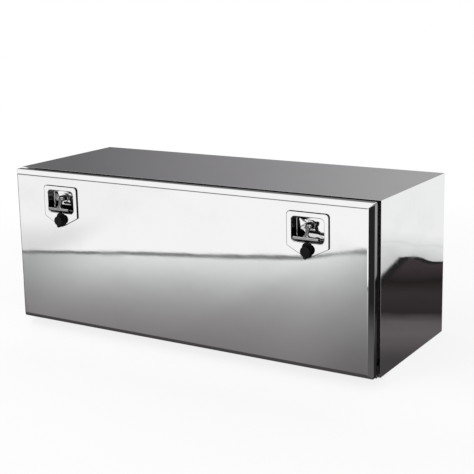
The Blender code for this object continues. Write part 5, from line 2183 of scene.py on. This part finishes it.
@dataclass(frozen=True)
class StudioTones:
    """What the steel sees of the floor and the sky: ramps of grey and where they lie.

    Places are in metres and shares go from 0 to 1. A pair says where a smooth rise starts and
    where it ends. Fields that begin with sky are the world's and the others the floor's; the
    depth ones tell a first reflection from the ones after it.
    """

    front: Stops = (
        (0.22, (0.192, 0.182, 0.185)),
        (0.30, (0.233, 0.222, 0.226)),
        (0.40, (0.284, 0.275, 0.279)),
        (0.50, (0.351, 0.346, 0.349)),
        (0.60, (0.438, 0.439, 0.442)),
        (0.70, (0.548, 0.553, 0.557)),
        (0.80, (0.668, 0.676, 0.680)),
        (0.92, (0.785, 0.800, 0.800)),
    )
    side: Stops = (
        (0.15, (0.060, 0.055, 0.056)),
        (0.24, (0.097, 0.087, 0.090)),
        (0.32, (0.125, 0.112, 0.117)),
        (0.385, (0.113, 0.100, 0.105)),
        (0.47, (0.028, 0.024, 0.025)),
        (0.62, (0.038, 0.031, 0.032)),
        (0.735, (0.020, 0.016, 0.016)),
        (0.87, (0.049, 0.038, 0.042)),
    )
    beyond: Stops = (
        (0.00, (0.600, 0.600, 0.605)),
        (0.06, (0.690, 0.695, 0.700)),
        (0.16, (0.790, 0.795, 0.800)),
        (0.20, (0.750, 0.760, 0.765)),
        (0.24, (0.830, 0.835, 0.840)),
        (0.40, (0.915, 0.920, 0.925)),
    )
    # painted shade: the ramp of a dark patch on the floor just outside the box's front corners,
    # seen only in reflections
    flag: Stops = (
        (0.28, (0.112, 0.108, 0.108)),
        (0.54, (0.100, 0.096, 0.096)),
        (0.61, (0.082, 0.079, 0.079)),
        (0.72, (0.052, 0.050, 0.051)),
        (0.80, (0.030, 0.029, 0.030)),
        (0.88, (0.019, 0.019, 0.020)),
    )
    sky_back: Stops = (
        (0.0, (0.150, 0.146, 0.151)),
        (0.28, (0.266, 0.259, 0.267)),
        (0.49, (0.390, 0.385, 0.393)),
        (1.0, (0.455, 0.453, 0.457)),
    )
    line: Colour = (0.17, 0.17, 0.175)
    rim: Colour = (0.017, 0.017, 0.017)
    # painted shade: the near-black that later reflections see of the floor to the front right
    corner: Colour = (0.012, 0.012, 0.012)
    sky_front: Colour = (0.05, 0.05, 0.05)
    reach: float = 1.814
    reach_slope: float = 0.4216
    reach_bulge: float = 0.134
    bulge_ends: Pair = (0.15, 0.31)
    left_lean: float = 0.3
    right_lean: float = 0.35
    right_shade: Pair = (0.36, 0.68)
    right_depth: float = 0.39
    left_shade: Pair = (0.56, 1.08)
    left_depth: float = 0.43
    line_at: Pair = (0.930, 0.955)
    line_share: float = 0.94
    edge_at: Pair = (0.982, 1.0)
    # painted shade: where and how far the far floor to the left is darkened in reflections
    haze_side: Pair = (0.82, 1.05)
    haze_level: Pair = (1.0, 1.7)
    haze_fade: float = 0.85
    haze_depth: float = 0.235
    side_slope: float = 0.5
    side_span: float = 1.6
    rim_across: float = 0.927
    rim_slope: float = 0.17
    rim_back: float = 1.020
    rim_start: Pair = (-0.050, -0.032)
    rim_end: Pair = (-0.004, 0.003)
    swell_from: Pair = (0.86, 0.94)
    swell_start: float = 0.9965
    swell_rate: float = 40.8
    swell_height: float = 0.019
    front_from: Pair = (0.27, 0.50)
    flag_start: float = 0.62
    flag_corner: Pair = (0.60, 0.27)
    flag_slope: float = 0.8
    flag_edge: Pair = (-0.02, 0.10)
    flag_ahead: Pair = (0.22, 0.30)
    flag_across: Pair = (0.62, 0.68)
    corner_right: Pair = (0.30, 0.55)
    corner_ahead: Pair = (0.4, 0.8)
    clear_ring: Pair = (0.8, 5.0)
    clear_near: float = 0.82
    clear_more: float = 0.18
    sky_turn_shift: float = 0.85
    sky_turn_span: float = 0.9
    sky_back_from: Pair = (0.05, 0.35)
    sky_back_foot: Pair = (-0.05, 0.0)
    sky_back_top: Pair = (0.30, 0.48)
    sky_front_from: Pair = (0.05, 0.25)
    sky_front_foot: Pair = (-0.03, 0.03)
    sky_front_top: Pair = (0.58, 0.70)
    sky_front_first: float = 0.8
    sky_front_more: float = 0.2
    depth_two: Pair = (1.4, 1.6)
    depth_three: Pair = (2.4, 2.6)
    depth_four: Pair = (3.4, 3.6)
    # painted shade: how far reflections after the first are darkened towards black
    worn_once: float = 0.45
    worn_twice: float = 0.42
    lit: Colour = (0.90, 0.90, 0.90)
    drift_scale: float = 4.5
    drift_shift: Colour = (0.3, 0.8, 0.0)
    drift_span: float = 0.16
    drift_middle: float = 0.08
    sky_turn_least: float = 0.05


class Studio:
    """A white room: a pale floor, a soft lamp, the world's light and the camera."""

    def __init__(self, sizes: StudioSizes, tones: StudioTones) -> None:
        """Keeps the sizes and the tones."""
        self.sizes = sizes
        self.tones = tones

    def build(self) -> None:
        """Builds the floor, the light and the camera."""
        self.floor()
        self.world()
        self.lamp()
        self.camera()
        bpy.context.scene.view_settings.view_transform = "Standard"

    def floor(self) -> None:
        """Builds the floor: level under the box, and lower in front, where the door drops."""
        s = self.sizes
        run = Workshop.rounded(
            [
                (s.half, -s.floor_gap),
                (s.ledge_end, -s.floor_gap),
                (s.pit_start, -s.pit_depth),
                (-s.half, -s.pit_depth),
            ],
            [0.0, s.floor_round, s.floor_round, 0.0],
            10,
        )
        bm = bmesh.new()
        points = [bm.verts.new((-s.half, y, z)) for y, z in run]
        edges = [bm.edges.new(pair) for pair in zip(points, points[1:])]
        grown = bmesh.ops.extrude_edge_only(bm, edges=edges)["geom"]
        moved = [part for part in grown if isinstance(part, bmesh.types.BMVert)]
        bmesh.ops.translate(bm, verts=moved, vec=(2 * s.half, 0.0, 0.0))
        bmesh.ops.recalc_face_normals(bm, faces=bm.faces[:])
        if bm.faces[0].normal.z < 0.0:
            bmesh.ops.reverse_faces(bm, faces=bm.faces[:])
        mesh = bpy.data.meshes.new("floor")
        bm.to_mesh(mesh)
        bm.free()
        mesh.shade_smooth()
        mesh.materials.append(self.floor_material())
        floor = bpy.data.objects.new("floor", mesh)
        bpy.context.scene.collection.objects.link(floor)

    def floor_material(self) -> bpy.types.Material:
        """Makes the floor: white to look at, and darker round the box as the steel sees it.

        Returns:
            The material.
        """
        t = self.tones
        material, graph = new_material("studio floor")
        x, y, _ = graph.place()
        path = graph.add("ShaderNodeLightPath")
        seen = graph.value(path.outputs["Is Camera Ray"])
        mirrored = graph.value(path.outputs["Is Glossy Ray"])
        through = graph.value(path.outputs["Is Transmission Ray"])
        depth = graph.value(path.outputs["Ray Depth"])
        again = depth.rise(*t.depth_two)
        across, ahead = abs(x), -y
        front = self.front_glow(graph, x, ahead)
        side = self.side_glow(graph, across, y)
        colour = graph.blend(ahead.rise(*t.front_from), side, front)
        # painted shade: a dark patch on the floor just outside the front corners, seen only in
        # reflections
        flag = (across - t.flag_start).ramp(t.flag)
        corner_across, corner_ahead = t.flag_corner
        lean = (ahead - corner_ahead) - (across - corner_across) * t.flag_slope
        inside = 1.0 - lean.rise(*t.flag_edge)
        inside = inside * ahead.rise(*t.flag_ahead) * across.rise(*t.flag_across)
        colour = graph.blend(inside, colour, flag)
        # painted shade: later reflections see the floor to the front right near black, as shade
        # inside the dishes
        corner = again * x.rise(*t.corner_right) * ahead.rise(*t.corner_ahead)
        colour = graph.blend(corner, colour, t.corner)
        # painted shade: reflections after the first see the floor darker, as light lost in hollows
        # such as the dishes
        repeat_shade = again * t.worn_once + depth.rise(*t.depth_three) * t.worn_twice
        colour = graph.blend(repeat_shade, colour, BLACK)
        lit = graph.add("ShaderNodeBsdfDiffuse", None, {"Color": t.lit})
        white = graph.add("ShaderNodeEmission", None, {"Color": WHITE, "Strength": 1.0})
        glow = graph.add("ShaderNodeEmission", None, {"Color": colour, "Strength": 1.0})
        clear = (x * x + y * y).rise(*t.clear_ring) * t.clear_more + t.clear_near
        to_eye = graph.add(
            "ShaderNodeMixShader", None, {0: seen * clear, 1: lit.outputs[0], 2: white.outputs[0]}
        )
        glossy = graph.add(
            "ShaderNodeMixShader",
            None,
            {0: mirrored.most(through), 1: to_eye.outputs[0], 2: glow.outputs[0]},
        )
        graph.add("ShaderNodeOutputMaterial", None, {"Surface": glossy.outputs[0]})
        return material

    def front_glow(self, graph: NodeGraph, x: ShaderValue, ahead: ShaderValue) -> Any:
        """Makes the floor in front of the door as the steel sees it.

        Args:
            graph: The floor's graph.
            x: Place across the floor.
            ahead: Distance in front of the box's middle.

        Returns:
            The colour: dark near the door, lighter away from it, then a thin line and white.
        """
        t = self.tones
        across = abs(x)
        bulge = (1.0 - across.rise(*t.bulge_ends)) * t.reach_bulge
        reach = t.reach - across * t.reach_slope + bulge
        level = ahead / reach
        near = level.ramp(t.front)
        left = -x - ahead * t.left_lean
        shade = (x + ahead * t.right_lean).rise(*t.right_shade) * t.right_depth
        shade = shade + left.rise(*t.left_shade) * t.left_depth
        near = graph.blend(shade, near, BLACK)
        near = graph.blend(level.rise(*t.line_at) * t.line_share, near, t.line)
        # painted shade: the far floor to the left is darkened towards black, as the steel sees it
        fade = 1.0 - level.rise(*t.haze_level) * t.haze_fade
        far_shade = left.rise(*t.haze_side) * fade * t.haze_depth
        far = graph.blend(far_shade, WHITE, BLACK)
        return graph.blend(level.rise(*t.edge_at), near, far)

    def side_glow(self, graph: NodeGraph, across: ShaderValue, y: ShaderValue) -> Any:
        """Makes the floor beside the box as the steel sees it.

        Args:
            graph: The floor's graph.
            across: Distance from the box's middle along X.
            y: Place along Y.

        Returns:
            The colour: near black with lighter bands, a black wavy rim, then white.
        """
        t = self.tones
        drift = graph.noise(t.drift_scale, (1.0, 1.0, 0.0), 2.0, t.drift_shift)
        drift = drift * t.drift_span - t.drift_middle
        near = ((y + across * t.side_slope + drift) / t.side_span).ramp(t.side)
        swell = ((across - t.swell_start) * t.swell_rate).sine()
        swell = swell * across.rise(*t.swell_from) * t.swell_height
        rim = (across - t.rim_across - y * t.rim_slope).most(y - t.rim_back - swell)
        near = graph.blend(rim.rise(*t.rim_start), near, t.rim)
        far = rim.ramp(t.beyond)
        return graph.blend(rim.rise(*t.rim_end), near, far)

    def world(self) -> None:
        """Sets the world: white to look at, even for soft light, and banded for the steel."""
        t = self.tones
        world = bpy.data.worlds.new("studio")
        world.use_nodes = True
        graph = NodeGraph(world.node_tree)
        toward = graph.add("ShaderNodeTexCoord").outputs["Generated"]
        split = graph.add("ShaderNodeSeparateXYZ", None, {0: toward})
        x, y, z = (graph.value(socket) for socket in split.outputs)
        turn = x / y.most(t.sky_turn_least)
        low_back = ((turn + t.sky_turn_shift) / t.sky_turn_span).ramp(t.sky_back)
        band = y.rise(*t.sky_back_from) * (1.0 - z.rise(*t.sky_back_top)) * z.rise(*t.sky_back_foot)
        steel_sky = graph.blend(band, WHITE, low_back)
        path = graph.add("ShaderNodeLightPath")
        depth = graph.value(path.outputs["Ray Depth"])
        again = depth.rise(*t.depth_three)
        low_front = (-y).rise(*t.sky_front_from) * (1.0 - z.rise(*t.sky_front_top))
        low_front = low_front * z.rise(*t.sky_front_foot)
        share = low_front * (again * t.sky_front_more + t.sky_front_first)
        steel_sky = graph.blend(share, steel_sky, t.sky_front)
        # painted shade: reflections after the first see the world darker, as light lost in hollows
        # such as the dishes
        repeat_shade = again * t.worn_once + depth.rise(*t.depth_four) * t.worn_twice
        steel_sky = graph.blend(repeat_shade, steel_sky, BLACK)
        seen = graph.value(path.outputs["Is Camera Ray"])
        mirrored = graph.value(path.outputs["Is Glossy Ray"])
        through = graph.value(path.outputs["Is Transmission Ray"])
        soft = (self.sizes.sky,) * 3
        colour = graph.blend(mirrored.most(through), soft, steel_sky)
        colour = graph.blend(seen, colour, WHITE)
        shader = graph.add("ShaderNodeBackground", None, {"Color": colour, "Strength": 1.0})
        graph.add("ShaderNodeOutputWorld", None, {"Surface": shader.outputs[0]})
        bpy.context.scene.world = world

    def lamp(self) -> None:
        """Adds the soft lamp above the front left."""
        s = self.sizes
        light = bpy.data.lights.new("soft lamp", "AREA")
        light.shape = "DISK"
        light.size = s.lamp_size
        light.energy = s.lamp_power
        lamp = bpy.data.objects.new("soft lamp", light)
        lamp.location = s.lamp_place
        lamp.visible_glossy = False
        aim = Vector(s.lamp_aim) - Vector(s.lamp_place)
        lamp.rotation_euler = aim.to_track_quat("-Z", "Y").to_euler()
        bpy.context.scene.collection.objects.link(lamp)

    def camera(self) -> None:
        """Sets the camera where the photograph was taken from."""
        s = self.sizes
        yaw, pitch, roll = (math.radians(angle) for angle in (s.yaw, s.pitch, s.roll))
        back = Vector(
            (math.sin(yaw) * math.cos(pitch), -math.cos(yaw) * math.cos(pitch), math.sin(pitch))
        )
        right = Vector((math.cos(yaw), math.sin(yaw), 0.0))
        up = back.cross(right)
        tilted_right = right * math.cos(roll) + up * math.sin(roll)
        tilted_up = up * math.cos(roll) - right * math.sin(roll)
        lens = bpy.data.cameras.new("camera")
        lens.sensor_fit = "HORIZONTAL"
        lens.sensor_width = s.sensor
        lens.lens = s.sensor * s.focal_pixels / s.picture
        lens.shift_y = (s.centre_row - s.picture / 2) / s.picture
        camera = bpy.data.objects.new("camera", lens)
        turned = Matrix((tilted_right, tilted_up, back)).transposed().to_4x4()
        camera.matrix_world = Matrix.Translation(s.camera) @ turned
        bpy.context.scene.collection.objects.link(camera)
        bpy.context.scene.camera = camera


def main() -> None:
    """Builds the whole scene in order."""
    logging.basicConfig(level=logging.INFO, format="%(name)s: %(message)s")
    finishes = Finishes()
    latch_sizes = LatchSizes()
    Studio(StudioSizes(), StudioTones()).build()
    BoxBody(finishes, BoxSizes()).build()
    Hinge(finishes, HingeSizes()).build()
    Door(finishes, DoorSizes(), latch_sizes).build()
    for end in End:
        Latch(finishes, latch_sizes, end).build()
        KeyLock(finishes, latch_sizes, end).build()
        Stay(finishes, StaySizes(), end).build()


if __name__ == "__main__":
    main()
